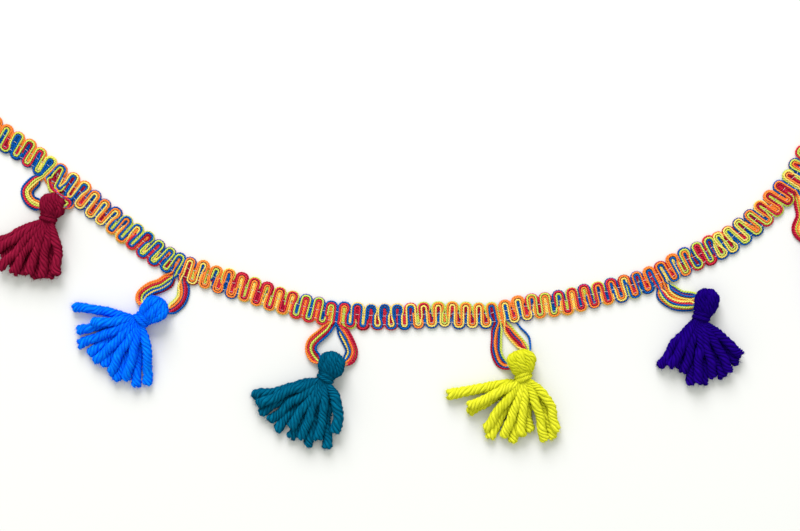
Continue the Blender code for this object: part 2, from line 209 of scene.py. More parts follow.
class MeshDraft:
    """The tubes of one piece, gathered in millimetres before they become one mesh."""

    def __init__(self) -> None:
        """An empty draft."""
        self.points: list[np.ndarray] = []
        self.tones: list[np.ndarray] = []
        self.quads: list[np.ndarray] = []
        self.fans: list[np.ndarray] = []
        self.quad_places: list[np.ndarray] = []
        self.fan_places: list[np.ndarray] = []
        self.count = 0

    def add_tube(
        self, rings: np.ndarray, run: np.ndarray, shade_and_tone: float | np.ndarray, around: float = 1.0
    ) -> None:
        """Add a closed tube.

        Args:
            rings: its rings of points, as an array of rings by sides by 3.
            run: the distance along the tube at each ring, for the texture.
            shade_and_tone: its painted shade with a random unevenness, for the whole tube, each ring or
                each point, from 0 to 1.
            around: how many times the texture goes round it.
        """
        stations, sides, _ = rings.shape
        first = self.count
        flat = rings.reshape(-1, 3)
        ends = np.vstack([rings[0].mean(axis=0), rings[-1].mean(axis=0)])
        self.points += [flat, ends]
        tones = np.asarray(shade_and_tone, float)
        tones = np.broadcast_to(tones[:, None] if tones.ndim == 1 else tones, (stations, sides))
        self.tones += [tones.ravel(), tones[[0, -1]].mean(axis=1)]
        self.count += len(flat) + 2
        ring, side = np.meshgrid(np.arange(stations - 1), np.arange(sides), indexing="ij")
        ring, side = ring.ravel(), side.ravel()
        here = first + ring * sides
        there = here + sides
        beside = (side + 1) % sides
        self.quads.append(
            np.column_stack([here + side, here + beside, there + beside, there + side])
        )
        left, right = side / sides * around, (side + 1) / sides * around
        near, far = run[ring], run[ring + 1]
        places = [(left, near), (right, near), (right, far), (left, far)]
        self.quad_places.append(np.stack([np.column_stack(p) for p in places], axis=1))
        side = np.arange(sides)
        beside = (side + 1) % sides
        last = first + (stations - 1) * sides
        middle = first + len(flat)
        start = np.column_stack([np.full(sides, middle), first + beside, first + side])
        end = np.column_stack([np.full(sides, middle + 1), last + side, last + beside])
        self.fans += [start, end]
        for distance in (run[0], run[-1]):
            corner = np.column_stack([side / sides * around, np.full(sides, distance)])
            self.fan_places.append(np.stack([corner, corner, corner], axis=1))

    def build(self, name: str, material: bpy.types.Material) -> bpy.types.Object:
        """Make the mesh and its object.

        Args:
            name: the piece's name.
            material: its finish.

        Returns:
            The object, in metres and in place.
        """
        points = np.vstack(self.points) * MM
        quads = np.vstack(self.quads)
        fans = np.vstack(self.fans)
        corners = np.concatenate([quads.ravel(), fans.ravel()])
        starts = np.concatenate(
            [np.arange(len(quads)) * 4, len(quads) * 4 + np.arange(len(fans)) * 3]
        )
        mesh = bpy.data.meshes.new(name)
        mesh.vertices.add(len(points))
        mesh.vertices.foreach_set("co", points.ravel().astype(np.float32))
        mesh.loops.add(len(corners))
        mesh.loops.foreach_set("vertex_index", corners.astype(np.int32))
        mesh.polygons.add(len(starts))
        mesh.polygons.foreach_set("loop_start", starts.astype(np.int32))
        mesh.update(calc_edges=True)
        places = np.concatenate(
            [np.vstack(self.quad_places).reshape(-1, 2), np.vstack(self.fan_places).reshape(-1, 2)]
        )
        layer = mesh.uv_layers.new(name=ALONG_MAP)
        layer.uv.foreach_set("vector", places.ravel().astype(np.float32))
        tones = mesh.attributes.new(SHADE_AND_TONE, "FLOAT", "POINT")
        tones.data.foreach_set("value", np.concatenate(self.tones).astype(np.float32))
        mesh.shade_smooth()
        mesh.materials.append(material)
        obj = bpy.data.objects.new(name, mesh)
        bpy.context.scene.collection.objects.link(obj)
        LOG.info("%s: %d triangles", name, 2 * len(quads) + len(fans))
        return obj


# Finishes -------------------------------------------------------------------------------------


class FibreNodes:
    """The shared node group that turns a plain colour into spun fibre, with painted shade in its
    creases and from a value stored on each point.
    """

    NAME = "spun_fibre"
    GRAIN_DETAIL = 3.0
    GRAIN_ROUGHNESS = 0.62
    GRAIN_FLOOR = 0.32
    GRAIN_CONTRAST = 2.8
    HEIGHT_SHARE = 0.6

    @classmethod
    def group(cls) -> bpy.types.NodeTree:
        """The group, made the first time it is asked for."""
        return bpy.data.node_groups.get(cls.NAME) or cls._make()

    @classmethod
    def _make(cls) -> bpy.types.NodeTree:
        """Build the group.

        Returns:
            A group whose inputs are two colours and seven plain numbers, and whose outputs are Colour
            and Height.
        """
        tree = bpy.data.node_groups.new(cls.NAME, "ShaderNodeTree")
        for name, kind, value in (
            ("Light", "NodeSocketColor", (1.0, 1.0, 1.0, 1.0)),
            ("Deep", "NodeSocketColor", (0.5, 0.5, 0.5, 1.0)),
            ("Around", "NodeSocketFloat", 6.0),
            ("Along", "NodeSocketFloat", 0.6),
            ("Crease", "NodeSocketFloat", 0.6),
            ("Ridges", "NodeSocketFloat", 1.0),
            ("Open At", "NodeSocketFloat", 0.8),
            ("Speckle", "NodeSocketFloat", 0.5),
            ("Shade", "NodeSocketFloat", 0.3),
        ):
            tree.interface.new_socket(name, in_out="INPUT", socket_type=kind).default_value = value
        tree.interface.new_socket("Colour", in_out="OUTPUT", socket_type="NodeSocketColor")
        tree.interface.new_socket("Height", in_out="OUTPUT", socket_type="NodeSocketFloat")
        source = tree.nodes.new("NodeGroupInput")
        result = tree.nodes.new("NodeGroupOutput")
        where = tree.nodes.new("ShaderNodeUVMap")
        where.uv_map = ALONG_MAP
        split = tree.nodes.new("ShaderNodeSeparateXYZ")
        tree.links.new(where.outputs["UV"], split.inputs[0])
        shade_and_tone = tree.nodes.new("ShaderNodeAttribute")
        shade_and_tone.attribute_type = "GEOMETRY"
        shade_and_tone.attribute_name = SHADE_AND_TONE

        def maths(operation: str, first: object, second: object = None) -> object:
            """A maths node's output, fed by sockets or plain numbers."""
            node = tree.nodes.new("ShaderNodeMath")
            node.operation = operation
            for socket, value in zip(node.inputs, (first, second)):
                if isinstance(value, bpy.types.NodeSocket):
                    tree.links.new(value, socket)
                elif value is not None:
                    socket.default_value = value
            return node.outputs[0]

        def noise(place: object, detail: float) -> object:
            """A noise node's value at a place."""
            node = tree.nodes.new("ShaderNodeTexNoise")
            node.inputs["Scale"].default_value = 1.0
            node.inputs["Detail"].default_value = detail
            node.inputs["Roughness"].default_value = cls.GRAIN_ROUGHNESS
            tree.links.new(place, node.inputs["Vector"])
            return node.outputs[0]

        def held(value: object) -> object:
            """A value held between 0 and 1."""
            node = tree.nodes.new("ShaderNodeClamp")
            tree.links.new(value, node.inputs[0])
            return node.outputs[0]

        def less(value: object, amount: object) -> object:
            """What is left of 1 after part of this amount is taken, by the value."""
            return maths("SUBTRACT", 1.0, maths("MULTIPLY", value, amount))

        turn = maths("MULTIPLY", split.outputs["X"], math.tau)
        place = tree.nodes.new("ShaderNodeCombineXYZ")
        for socket, wave in zip(place.inputs, ("COSINE", "SINE")):
            tree.links.new(
                maths("MULTIPLY", maths(wave, turn), source.outputs["Around"]), socket
            )
        tree.links.new(
            maths("MULTIPLY", split.outputs["Y"], source.outputs["Along"]), place.inputs["Z"]
        )
        grain = maths("SUBTRACT", noise(place.outputs[0], cls.GRAIN_DETAIL), cls.GRAIN_FLOOR)
        streaks = held(maths("MULTIPLY", grain, cls.GRAIN_CONTRAST))
        # The creases between plies: they get painted shade below, and they also help shape the bumps.
        lobes = maths("COSINE", maths("MULTIPLY", turn, source.outputs["Ridges"]))
        shut = held(maths("SUBTRACT", source.outputs["Open At"], lobes))
        open_face = less(shut, 1.0)
        dimmed = less(maths("SUBTRACT", 1.0, streaks), source.outputs["Speckle"])
        # Painted shade from the value stored on each point, set from height and facing with some random
        # unevenness; below, the painted shade in the creases and the grain's random streaks join it.
        shaded_and_toned = less(maths("SUBTRACT", 1.0, shade_and_tone.outputs["Fac"]), source.outputs["Shade"])
        lit = maths("MULTIPLY", less(shut, source.outputs["Crease"]), maths("MULTIPLY", dimmed, shaded_and_toned))
        mix = tree.nodes.new("ShaderNodeMix")
        mix.data_type = "RGBA"
        mix.clamp_factor = True
        tree.links.new(lit, mix.inputs["Factor"])
        tree.links.new(source.outputs["Deep"], mix.inputs[6])
        tree.links.new(source.outputs["Light"], mix.inputs[7])
        tree.links.new(mix.outputs[2], result.inputs["Colour"])
        raised = [maths("MULTIPLY", part, cls.HEIGHT_SHARE) for part in (streaks, open_face)]
        height = maths("ADD", *raised)
        tree.links.new(height, result.inputs["Height"])
        return tree


@dataclass(frozen=True)
class FibreFinish:
    """A spun yarn or strand, from its lit colour to its colour in painted shade, which also colours the
    darker streaks of its grain.
    """

    name: str
    light: tuple[float, float, float]
    deep: tuple[float, float, float]
    around: float = 2.2
    along: float = 0.5
    crease: float = 0.85
    ridges: float = 1.0
    open_at: float = 0.85
    speckle: float = 0.65
    shade: float = 0.3
    roughness: float = 0.9
    shine: float = 0.0
    bump: float = 0.6
    bump_depth: float = 0.25

    def material(self) -> bpy.types.Material:
        """The finish as a material, made once.

        Returns:
            The material.
        """
        made = bpy.data.materials.get(self.name)
        if made:
            return made
        made = bpy.data.materials.new(self.name)
        made.use_nodes = True
        tree = made.node_tree
        shader = tree.nodes["Principled BSDF"]
        fibre = tree.nodes.new("ShaderNodeGroup")
        fibre.node_tree = FibreNodes.group()
        fibre.inputs["Light"].default_value = (*self.light, 1.0)
        fibre.inputs["Deep"].default_value = (*self.deep, 1.0)
        fibre.inputs["Around"].default_value = self.around
        fibre.inputs["Along"].default_value = self.along
        fibre.inputs["Crease"].default_value = self.crease
        fibre.inputs["Ridges"].default_value = self.ridges
        fibre.inputs["Open At"].default_value = self.open_at
        fibre.inputs["Speckle"].default_value = self.speckle
        fibre.inputs["Shade"].default_value = self.shade
        bump = tree.nodes.new("ShaderNodeBump")
        bump.inputs["Strength"].default_value = self.bump
        bump.inputs["Distance"].default_value = self.bump_depth * MM
        tree.links.new(fibre.outputs["Height"], bump.inputs["Height"])
        tree.links.new(fibre.outputs["Colour"], shader.inputs["Base Color"])
        tree.links.new(bump.outputs["Normal"], shader.inputs["Normal"])
        shader.inputs["Roughness"].default_value = self.roughness
        shader.inputs["Specular IOR Level"].default_value = self.shine
        return made


class Strand(Enum):
    """The eight strands of the braid, by the letters of its charts."""

    SCARLET = "R"
    CRIMSON = "r"
    ORANGE = "O"
    AMBER = "o"
    YELLOW = "Y"
    LIME = "L"
    BLUE = "B"
    NAVY = "b"

    @property
    def number(self) -> int:
        """Its place in the list of strands."""
        return list(Strand).index(self)


# Each strand's lit colour, then its colour in painted shade and in the darker streaks of its grain.
STRAND_COLOURS = {
    Strand.SCARLET: ((1.0, 0.080, 0.135), (0.50, 0.006, 0.030)),
    Strand.CRIMSON: ((0.74, 0.026, 0.090), (0.26, 0.003, 0.022)),
    Strand.ORANGE: ((1.0, 0.50, 0.130), (0.90, 0.140, 0.010)),
    Strand.AMBER: ((1.0, 0.55, 0.160), (0.88, 0.140, 0.010)),
    Strand.YELLOW: ((1.0, 1.0, 0.40), (0.88, 0.58, 0.06)),
    Strand.LIME: ((0.95, 1.0, 0.29), (0.42, 0.54, 0.025)),
    Strand.BLUE: ((0.010, 0.25, 0.84), (0.003, 0.045, 0.28)),
    Strand.NAVY: ((0.008, 0.19, 0.68), (0.002, 0.028, 0.19)),
}


def strand_finish(strand: Strand) -> FibreFinish:
    """The finish of one strand: two plies, so two ridges a turn."""
    light, deep = STRAND_COLOURS[strand]
    name = f"strand_{strand.name.lower()}"
    return FibreFinish(
        name, light, deep, around=1.4, along=2.6, ridges=2.0, open_at=0.1, speckle=0.8, shade=0.85
    )


# The braid ------------------------------------------------------------------------------------

SWAG = (
    (-184.2, 87.5),
    (-172.0, 78.6),
    (-156.0, 67.5),
    (-142.0, 56.5),
    (-128.0, 45.0),
    (-114.0, 34.2),
    (-100.0, 24.5),
    (-90.0, 19.8),
    (-68.0, 12.5),
    (-51.0, 6.6),
    (-34.0, 2.2),
    (-17.0, 0.2),
    (0.0, 0.0),
    (17.0, 0.8),
    (36.0, 0.6),
    (53.0, 3.6),
    (70.0, 6.1),
    (88.0, 10.2),
    (104.5, 14.8),
    (120.0, 22.2),
    (136.0, 29.6),
    (146.0, 35.5),
    (154.0, 42.0),
    (162.0, 50.0),
    (170.0, 60.0),
    (176.0, 69.5),
    (183.5, 82.0),
)


class CentreLine:
    """The braid's centre line, read by the distance run along it."""

    def __init__(self, places: tuple[tuple[float, float], ...]) -> None:
        """Smooth the line through its places."""
        self.points = smooth_route(np.array(places), 24)
        self.run = runs_of(self.points)
        self.length = float(self.run[-1])

    def point(self, distance: np.ndarray | float) -> np.ndarray:
        """The points these distances along."""
        inside = np.clip(np.atleast_1d(distance), 0.0, self.length)
        return read_along(inside, self.run, self.points)

    def direction(self, distance: np.ndarray | float) -> np.ndarray:
        """The unit directions along the braid there."""
        return unit(self.point(np.add(distance, 1.5)) - self.point(np.subtract(distance, 1.5)))

    def beside(self, distance: np.ndarray | float, offset: np.ndarray | float) -> np.ndarray:
        """The points this far along and this far across, upper side positive.

        Args:
            distance: how far along the braid.
            offset: how far across it.

        Returns:
            One point a row.
        """
        along = self.direction(distance)
        normal = np.column_stack([-along[:, 1], along[:, 0]])
        return self.point(distance) + normal * np.atleast_1d(offset)[:, None]


# The order of the four upper strands, bend by bend: the leg up and the upper bend, a slash, then
# the leg down and the lower bend. Each starts at the side that is outside in the upper bends and
# inside in the lower ones. A caret marks a bend whose outermost strand lies on top.
ORDER_CHART = """
oOLB/rRLb^ oOLB/rRLb^ oOLB/rRLb^ OLBb/RLBb OLrb/oLRb OLRB/YLBb
YLBb/BLbR OBLr/YBLr OYBr/rYBb OYBr/ROYB BOYb/rOYB bOYB/rOYB
BOYb^/LBOY LBOb/LBOY LBYO/LBRO LBrO/YLBR^ bLBR/YLBR^ bLBO/rLBb
BLbO^/rbLB bOYr/LOYr OoYb/LoOY oOLb/RoOb LOoB/RoOB rROY/LROY
LROY/rROY rROL/LROY LROY/rROY LROY/BLRO BLRO/BLRO BLRO/bLRO
BRLo^/BRLO BRoL^/YBRL^ YBRr/YBRr YBbR/rYBR YBbR/rYBR YBbR/RYBb
RYBr/LYOB LRYr/rOYB^ LOYr/oLYB LOYR/rOYB^ LOYr/rOYB LOYr/rOYB^
LOBr/YOBr oOYB/ROYB oOYB/ROYB RLOb/rLOY RLOY/bLOY bRLB/LROY
LROY/bROY bRoL/bROB LROb/bROY bROB/bOYB^ rOYB/ROBL bOBr/ROBb
oOBR/ROBb rObY/ROBY oOBY/rLOB BLOb^/rbLR^ bLRr/BLRr RLbr^/rLYB^
oYLb/rLYB^ rYLB/RYLB^ bYLr/oOLb^ bOLr/bOLR^ YOrL/oORL^ oOrL/oOrL^
BOrR/LORr LYor/bYLR bLOR/RLYb RLYb^/RLYb RLYb/RLYb OLYb/OLYb
""".split()

# How far the bends have slid along the braid, in bends: at each of these bends, the upper bends
# and the lower ones.
SLIDES = (
    (0, 0.30, 0.38),
    (6, 0.30, 0.38),
    (7, 0.22, 0.38),
    (8, 0.33, 0.38),
    (10, 0.34, 0.38),
    (17, 0.32, 0.10),
    (19, 0.13, 0.14),
    (26, 0.08, 0.12),
    (37, 0.01, 0.00),
    (59, -0.04, 0.02),
    (60.5, -0.40, -0.16),
    (64, -0.28, -0.08),
    (67, -0.10, -0.04),
    (72, 0.00, 0.00),
)

# How much further the upper bends stand out at each of these bends, in millimetres.
TALLER = ((18, 0.0), (20, 0.4), (27, 0.4), (29, 0.0), (55, 0.0), (57, 0.35), (66, 0.35), (68, 0.0))


@dataclass(frozen=True)
class Slot:
    """Where a strand lies in the braid's section: its place across a leg and its height."""

    across: float
    height: float

    @property
    def on_top(self) -> bool:
        """Whether it is one of the four slots that show."""
        return self.height > 1


UPPER_SLOTS = (Slot(1.17, 1.08), Slot(0.44, 1.42), Slot(-0.44, 1.42), Slot(-1.17, 1.08))
LOWER_SLOTS = tuple(Slot(across, 0.50) for across in (1.14, 0.40, -0.40, -1.14))


@dataclass(frozen=True)
class Arm:
    """How the strands lie in one arm of a loop, from its outer side in.

    order names them, across gives each one's distance from the arm's middle, and the strands named
    in under lie below the others.
    """

    order: str
    across: tuple[float, ...]
    under: str = ""

    LOW = 0.5
    CLIMB = 0.8

    def place(self, strand: Strand) -> tuple[float, float]:
        """One strand's place in the arm.

        Args:
            strand: which strand.

        Returns:
            Its distance from the arm's middle, inner side positive, and its height.
        """
        mine = self.across[self.order.index(strand.value)]
        if strand.value in self.under:
            return mine, self.LOW
        below = [self.across[self.order.index(letter)] for letter in self.under]
        covered = max((1 - abs(mine - other) for other in below), default=0.0)
        return mine, self.LOW + self.CLIMB * float(eased(max(0.0, covered) * 1.6))


@dataclass(frozen=True)
class TrimLoop:
    """One hanging loop, with its route counted from where it leaves the braid."""

    number: int
    route: tuple[tuple[float, float], ...]
    head: tuple[float, float]
    head_half_width: float
    left: Arm
    right: Arm

    leaves_at: float = 4.7
    free_height: float = 4.1
    bundle_step: float = 0.72
    bundle_layer: float = 0.85

    LEG_DEPTHS = (2.7, 4.3)
    STEP = 0.35
    BLEND_START = 0.5
    BLEND = 5.5
    HEAD_CORE = 0.5
    HEAD_EDGE = 0.85
    LOWEST = 0.46

    def bend(self) -> int:
        """The number of the lower bend whose place it takes."""
        return 7 + 12 * (self.number - 1)

    def root(self, line: CentreLine, pitch: float) -> np.ndarray:
        """The point at the braid's edge that its places are counted from."""
        return line.beside(self.bend() * pitch, -self.leaves_at)[0]

    def strand_route(
        self,
        strand: Strand,
        line: CentreLine,
        pitch: float,
        foot: float,
        before: Slot,
        after: Slot,
    ) -> np.ndarray:
        """The route of one strand round the loop.

        Args:
            strand: which strand.
            line: the braid's centre line.
            pitch: the distance between two lower bends.
            foot: how far along the braid the middle of its two legs is.
            before: the strand's slot in the leg that it leaves.
            after: its slot in the leg that it goes back into.

        Returns:
            Points in millimetres, from leg to leg.
        """
        root = self.root(line, pitch)
        legs = [
            line.beside(np.full(2, foot + turn * pitch / 4), -np.array(self.LEG_DEPTHS))
            for turn in (-1, 1)
        ]
        free = root + np.array(self.route)[1:-1]
        flat = spaced(smooth_route(np.vstack([legs[0], free, legs[1][::-1]]), 14), self.STEP)
        run = runs_of(flat)
        along = unit(np.gradient(flat, axis=0))
        inward = np.column_stack([-along[:, 1], along[:, 0]])
        from_head = np.linalg.norm(flat - (root + np.array(self.head)), axis=1)
        reach = self.head_half_width
        in_head = 1 - eased((from_head - self.HEAD_CORE * reach) / (self.HEAD_EDGE * reach))
        turning = int(np.argmin(from_head))
        out_of_braid = eased((run - self.BLEND_START) / self.BLEND)
        into_braid = eased((run[-1] - run - self.BLEND_START) / self.BLEND)
        arms = [self.left.place(strand), self.right.place(strand)]
        is_left = (np.arange(len(flat)) < turning).astype(float)
        rank = strand.number
        bundled = (
            (rank % 4 - 1.5) * self.bundle_step,
            self.free_height + (rank // 4 - 0.5) * self.bundle_layer,
        )
        places = []
        for axis in range(2):
            slots = [(slot.across, slot.height)[axis] for slot in (before, after)]
            arm = is_left * arms[0][axis] + (1 - is_left) * arms[1][axis]
            free_place = (1 - in_head) * arm + in_head * bundled[axis]
            place = free_place * out_of_braid * into_braid
            place += slots[0] * (1 - out_of_braid) + slots[1] * (1 - into_braid)
            places.append(place)
        inner = places[0] + wander(run, 100 * self.number + rank, wavelength=17.0, size=0.12)
        lift = np.abs(wander(run, 7 * rank + self.number, wavelength=9.0, size=0.1))
        height = np.maximum(places[1], self.LOWEST) + lift
        return np.column_stack([flat + inward * inner[:, None], height])


class Braid:
    """The eight strands of the braid and the pale thread that holds their bends."""

    BEND_COUNT = 72
    WIDTH = 11.2
    STEP = 0.38
    STEPS_A_TURN = 6.0
    SIDES = 6
    WIDE = 0.47
    NARROW = 0.29
    WAIST = 0.5
    EDGE_ALLOWANCE = 0.4
    OVERHANG = 1.6
    LEG_STEPS = 12
    ARC_STEPS = 15
    SHIFT_SIZES = (0.13, 0.16)
    SAG_ACROSS = 0.1
    LOOP_PULL = 0.5
    DRAWN_IN = (0.12, 0.45)
    # On a leg: how a strand changes slot, and how the waist stitch pinches it.
    MOVE_START = 0.02
    MOVE = 0.5
    BIG_MOVE = 1.0
    SMALL_MOVE = 0.3
    DIVE = 0.85
    DIVE_SHAPE = 0.7
    ARCH = 0.25
    ARCH_BELOW = 0.1
    PINCH_REACH = 0.5
    PINCH_IN = 0.13
    PINCH_DOWN = 0.22
    # Round a bend: how square it is, and how its outer strands are drawn in and lie low.
    OUT_SHAPE = 0.92
    OVER_SHAPE = 0.78
    OUTERMOST = 1
    NEXT_TO_IT = 0.2
    LET_OUT = 0.10
    DRAWN_OVER = 0.8
    DROP = 0.36
    DROP_BELOW = 0.05
    DROP_OVER = 0.7
    SAG = 0.30
    SAG_REACH = 2.6
    # After a loop: how far the strands spread into the next leg.
    SPREAD_ON_TOP = 0.75
    SPREAD_BELOW = 0.4
    # The strand itself: its lowest height, its gathered ends, and how it swells in the loops.
    LOWEST = 0.02
    END_GATHER = 0.6
    LOOP_SWELL = 0.25
    LOOP_SWELL_FROM = 5.5
    LOOP_SWELL_OVER = 3.0
    # Its painted shade: its darkest value and what height adds, then its darkest value and what facing
    # up adds.
    DEEP_TONE = 0.62
    RAISED_TONE = 0.38
    SIDE_TONE = 0.40
    FACE_TONE = 0.60
    THREAD_RADIUS = 0.11
    THREAD_TONE = 0.6
    THREAD_END = 0.6
    # Each row of stitches: its place across the braid, its height, and how far it dips between legs.
    STITCH_ROWS = ((WAIST, 1.62, 0.8), (-3.4, 1.62, 0.8), (WAIST, 0.42, -0.34))

    def __init__(self, loops: tuple[TrimLoop, ...]) -> None:
        """Lay out the centre line and the orders.

        Args:
            loops: the loops that hang from it.
        """
        self.line = CentreLine(SWAG)
        self.pitch = self.line.length / self.BEND_COUNT
        self.reach = self.WIDTH / 2 - self.pitch / 2 + self.EDGE_ALLOWANCE
        self.loops = {loop.bend(): loop for loop in loops}
        self.orders = self._orders()
        rng = np.random.default_rng(11)
        self.shifts = rng.normal(0.0, 1.0, (2 * self.BEND_COUNT + 2, 2)) * self.SHIFT_SIZES
        self.shifts[:, 1] -= self.SAG_ACROSS
        for bend in self.loops:
            self.shifts[[2 * bend - 2, 2 * bend], 1] -= self.LOOP_PULL
        self.drawn_in = rng.uniform(*self.DRAWN_IN, 2 * self.BEND_COUNT + 2)

    def _orders(self) -> list[dict[Strand, Slot]]:
        """The slot of every strand at each bend, upper and lower bends in turn.

        A strand that goes under stays as near as it can to where it was.

        Returns:
            One entry for each bend: entry 2k is upper bend k, and entry 2k + 1 the lower bend
            after it.
        """
        orders: list[dict[Strand, Slot]] = []
        lanes: dict[str, int] = {}
        for letters in "/".join(ORDER_CHART).replace("^", "").split("/"):
            free = list(range(4))
            hidden: dict[str, int] = {}
            below = [strand.value for strand in Strand if strand.value not in letters]
            for letter in sorted(below, key=lambda one: one not in self._was_below(orders)):
                lane = min(free, key=lambda place: abs(place - lanes.get(letter, place)))
                free.remove(lane)
                hidden[letter] = lane
            lanes = {**hidden, **{letter: at for at, letter in enumerate(letters)}}
            slots = {Strand(letter): UPPER_SLOTS[at] for at, letter in enumerate(letters)}
            slots.update({Strand(letter): LOWER_SLOTS[at] for letter, at in hidden.items()})
            orders.append(slots)
        return orders

    @staticmethod
    def _was_below(orders: list[dict[Strand, Slot]]) -> set[str]:
        """The letters of the strands that lay below in the last order."""
        if not orders:
            return set()
        return {strand.value for strand, slot in orders[-1].items() if not slot.on_top}

    def _leg(
        self, start: tuple[float, float], end: tuple[float, float], before: Slot, after: Slot, side: int
    ) -> np.ndarray:
        """One strand down or up one leg, while it moves from slot to slot.

        Args:
            start: how far along and across the leg starts, on its middle.
            end: the same for its end.
            before: the strand's slot at the start.
            after: its slot at the end.
            side: 1 where the strand's outer side of an upper bend is ahead, and -1 where behind.

        Returns:
            Rows of distance along, distance across and height.
        """
        part = (np.arange(self.LEG_STEPS) + 0.5) / self.LEG_STEPS
        moved = eased((part - self.MOVE_START) / self.MOVE)
        placed = start[1] + (end[1] - start[1]) * part
        pinch = np.exp(-(((placed - self.WAIST) / self.PINCH_REACH) ** 2))
        across = before.across + (after.across - before.across) * moved
        across = across * (1 - self.PINCH_IN * pinch)
        height = before.height + (after.height - before.height) * moved
        change = after.across - before.across
        both_on_top = before.on_top and after.on_top
        if abs(change) > self.BIG_MOVE and both_on_top:
            height = height - self.DIVE * np.sin(math.pi * moved) ** self.DIVE_SHAPE
        elif abs(change) > self.SMALL_MOVE:
            arch = math.copysign(self.ARCH, change) if both_on_top else self.ARCH_BELOW
            height = height + arch * np.sin(math.pi * moved)
        height = height - self.PINCH_DOWN * pinch
        along = start[0] + (end[0] - start[0]) * part + side * across
        return np.column_stack([along, placed, height])

    def _arc(self, entry: int, slot: Slot) -> np.ndarray:
        """One strand round one bend.

        The outermost strand is drawn in and lies low, unless the chart puts it on top.

        Args:
            entry: the bend's place in the list of orders.
            slot: the strand's slot.

        Returns:
            Rows of distance along, distance across and height.
        """
        centre = self._bend_centre(entry)
        upper = entry % 2 == 0
        outer = slot.across if upper else -slot.across
        height = slot.height
        turn = np.linspace(math.pi, 0.0 if upper else math.tau, self.ARC_STEPS)
        rise = np.abs(np.sin(turn))
        lifted = "^" in ORDER_CHART[entry // 2].split("/")[entry % 2]
        drawn_in, dropped = 0.0, 0.0
        if outer > self.OUTERMOST and not lifted:
            drawn_in = self.drawn_in[entry]
            dropped = self.DROP if slot.on_top else self.DROP_BELOW
        elif outer > self.NEXT_TO_IT and slot.on_top and not lifted:
            drawn_in = -self.LET_OUT
        radius = self.pitch / 4 + outer - drawn_in * eased(rise / self.DRAWN_OVER)
        out = radius * np.sign(np.sin(turn)) * rise**self.OUT_SHAPE
        over = radius * np.sign(np.cos(turn)) * np.abs(np.cos(turn)) ** self.OVER_SHAPE
        sag = self.SAG * (out / self.SAG_REACH) ** 2 + dropped * eased(rise / self.DROP_OVER)
        return np.column_stack([centre[0] + over, centre[1] + out, height - sag])

    @staticmethod
    def _slide(entry: int) -> float:
        """How far one bend has slid along the braid, in bends."""
        bends, over, under = np.array(SLIDES).T
        return float(np.interp(entry / 2, bends, (over, under)[entry % 2]))

    def _foot(self, bend: int) -> float:
        """How far along the braid a loop's two legs leave it, on their middle."""
        return (bend + float(np.clip(self._slide(2 * bend - 1), -0.12, 0.12))) * self.pitch

    def _bend_centre(self, entry: int) -> tuple[float, float]:
        """Where a bend is centred, with its small irregularity.

        Args:
            entry: the bend's place in the list of orders.

        Returns:
            How far along and across.
        """
        along = ((entry + 1) / 2 + self._slide(entry)) * self.pitch
        across = -self.reach
        if entry % 2 == 0:
            bends, more = np.array(TALLER).T
            across = self.reach + float(np.interp(entry / 2, bends, more))
        shift = self.shifts[entry]
        return along + shift[0], across + shift[1]

    def strand_route(self, strand: Strand) -> np.ndarray:
        """The whole route of one strand, loops and all.

        Args:
            strand: which strand.

        Returns:
            Points in millimetres.
        """
        chunks: list[np.ndarray] = []
        rows: list[np.ndarray] = []
        quarter = self.pitch / 4
        last = 2 * self.BEND_COUNT - 2
        for entry in range(last + 1):
            slot = self.orders[entry][strand]
            centre = self._bend_centre(entry)
            upper = entry % 2 == 0
            if entry == 0:
                foot = (quarter, -self.reach - self.OVERHANG)
                rows.append(self._leg(foot, (centre[0] - quarter, self.reach), slot, slot, -1))
            loop = None if upper else self.loops.get((entry + 1) // 2)
            if loop is None:
                rows.append(self._arc(entry, slot))
            else:
                placed = np.vstack(rows)
                chunks.append(self._placed(placed))
                before, after = self.orders[entry - 1][strand], self.orders[entry + 1][strand]
                foot = self._foot(loop.bend())
                chunks.append(loop.strand_route(strand, self.line, self.pitch, foot, before, after))
                rows = []
            if entry == last:
                foot = (centre[0] + quarter, -self.reach - self.OVERHANG)
                rows.append(self._leg((centre[0] + quarter, self.reach), foot, slot, slot, 1))
                break
            following = self._bend_centre(entry + 1)
            side = 1 if upper else -1
            start, end = (centre[0] + quarter, centre[1]), (following[0] - quarter, following[1])
            after = self.orders[entry + 1][strand]
            if loop is not None:
                foot = self._foot(loop.bend())
                start = (foot + quarter, -self.reach)
                stretch = self._slide(entry + 2) - foot / self.pitch + loop.bend()
                spread = stretch * self.pitch * min(after.across, 0.0)
                spread *= self.SPREAD_ON_TOP if after.on_top else self.SPREAD_BELOW
                slot = Slot(after.across + spread, after.height)
            if upper and (entry + 2) // 2 in self.loops:
                end = (self._foot((entry + 2) // 2) - quarter, -self.reach)
                after = slot
            rows.append(self._leg(start, end, slot, after, side))
        chunks.append(self._placed(np.vstack(rows)))
        return np.vstack(chunks)

    def _placed(self, rows: np.ndarray) -> np.ndarray:
        """Points on the surface from rows of distance along, distance across and height."""
        return np.column_stack([self.line.beside(rows[:, 0], rows[:, 1]), rows[:, 2]])

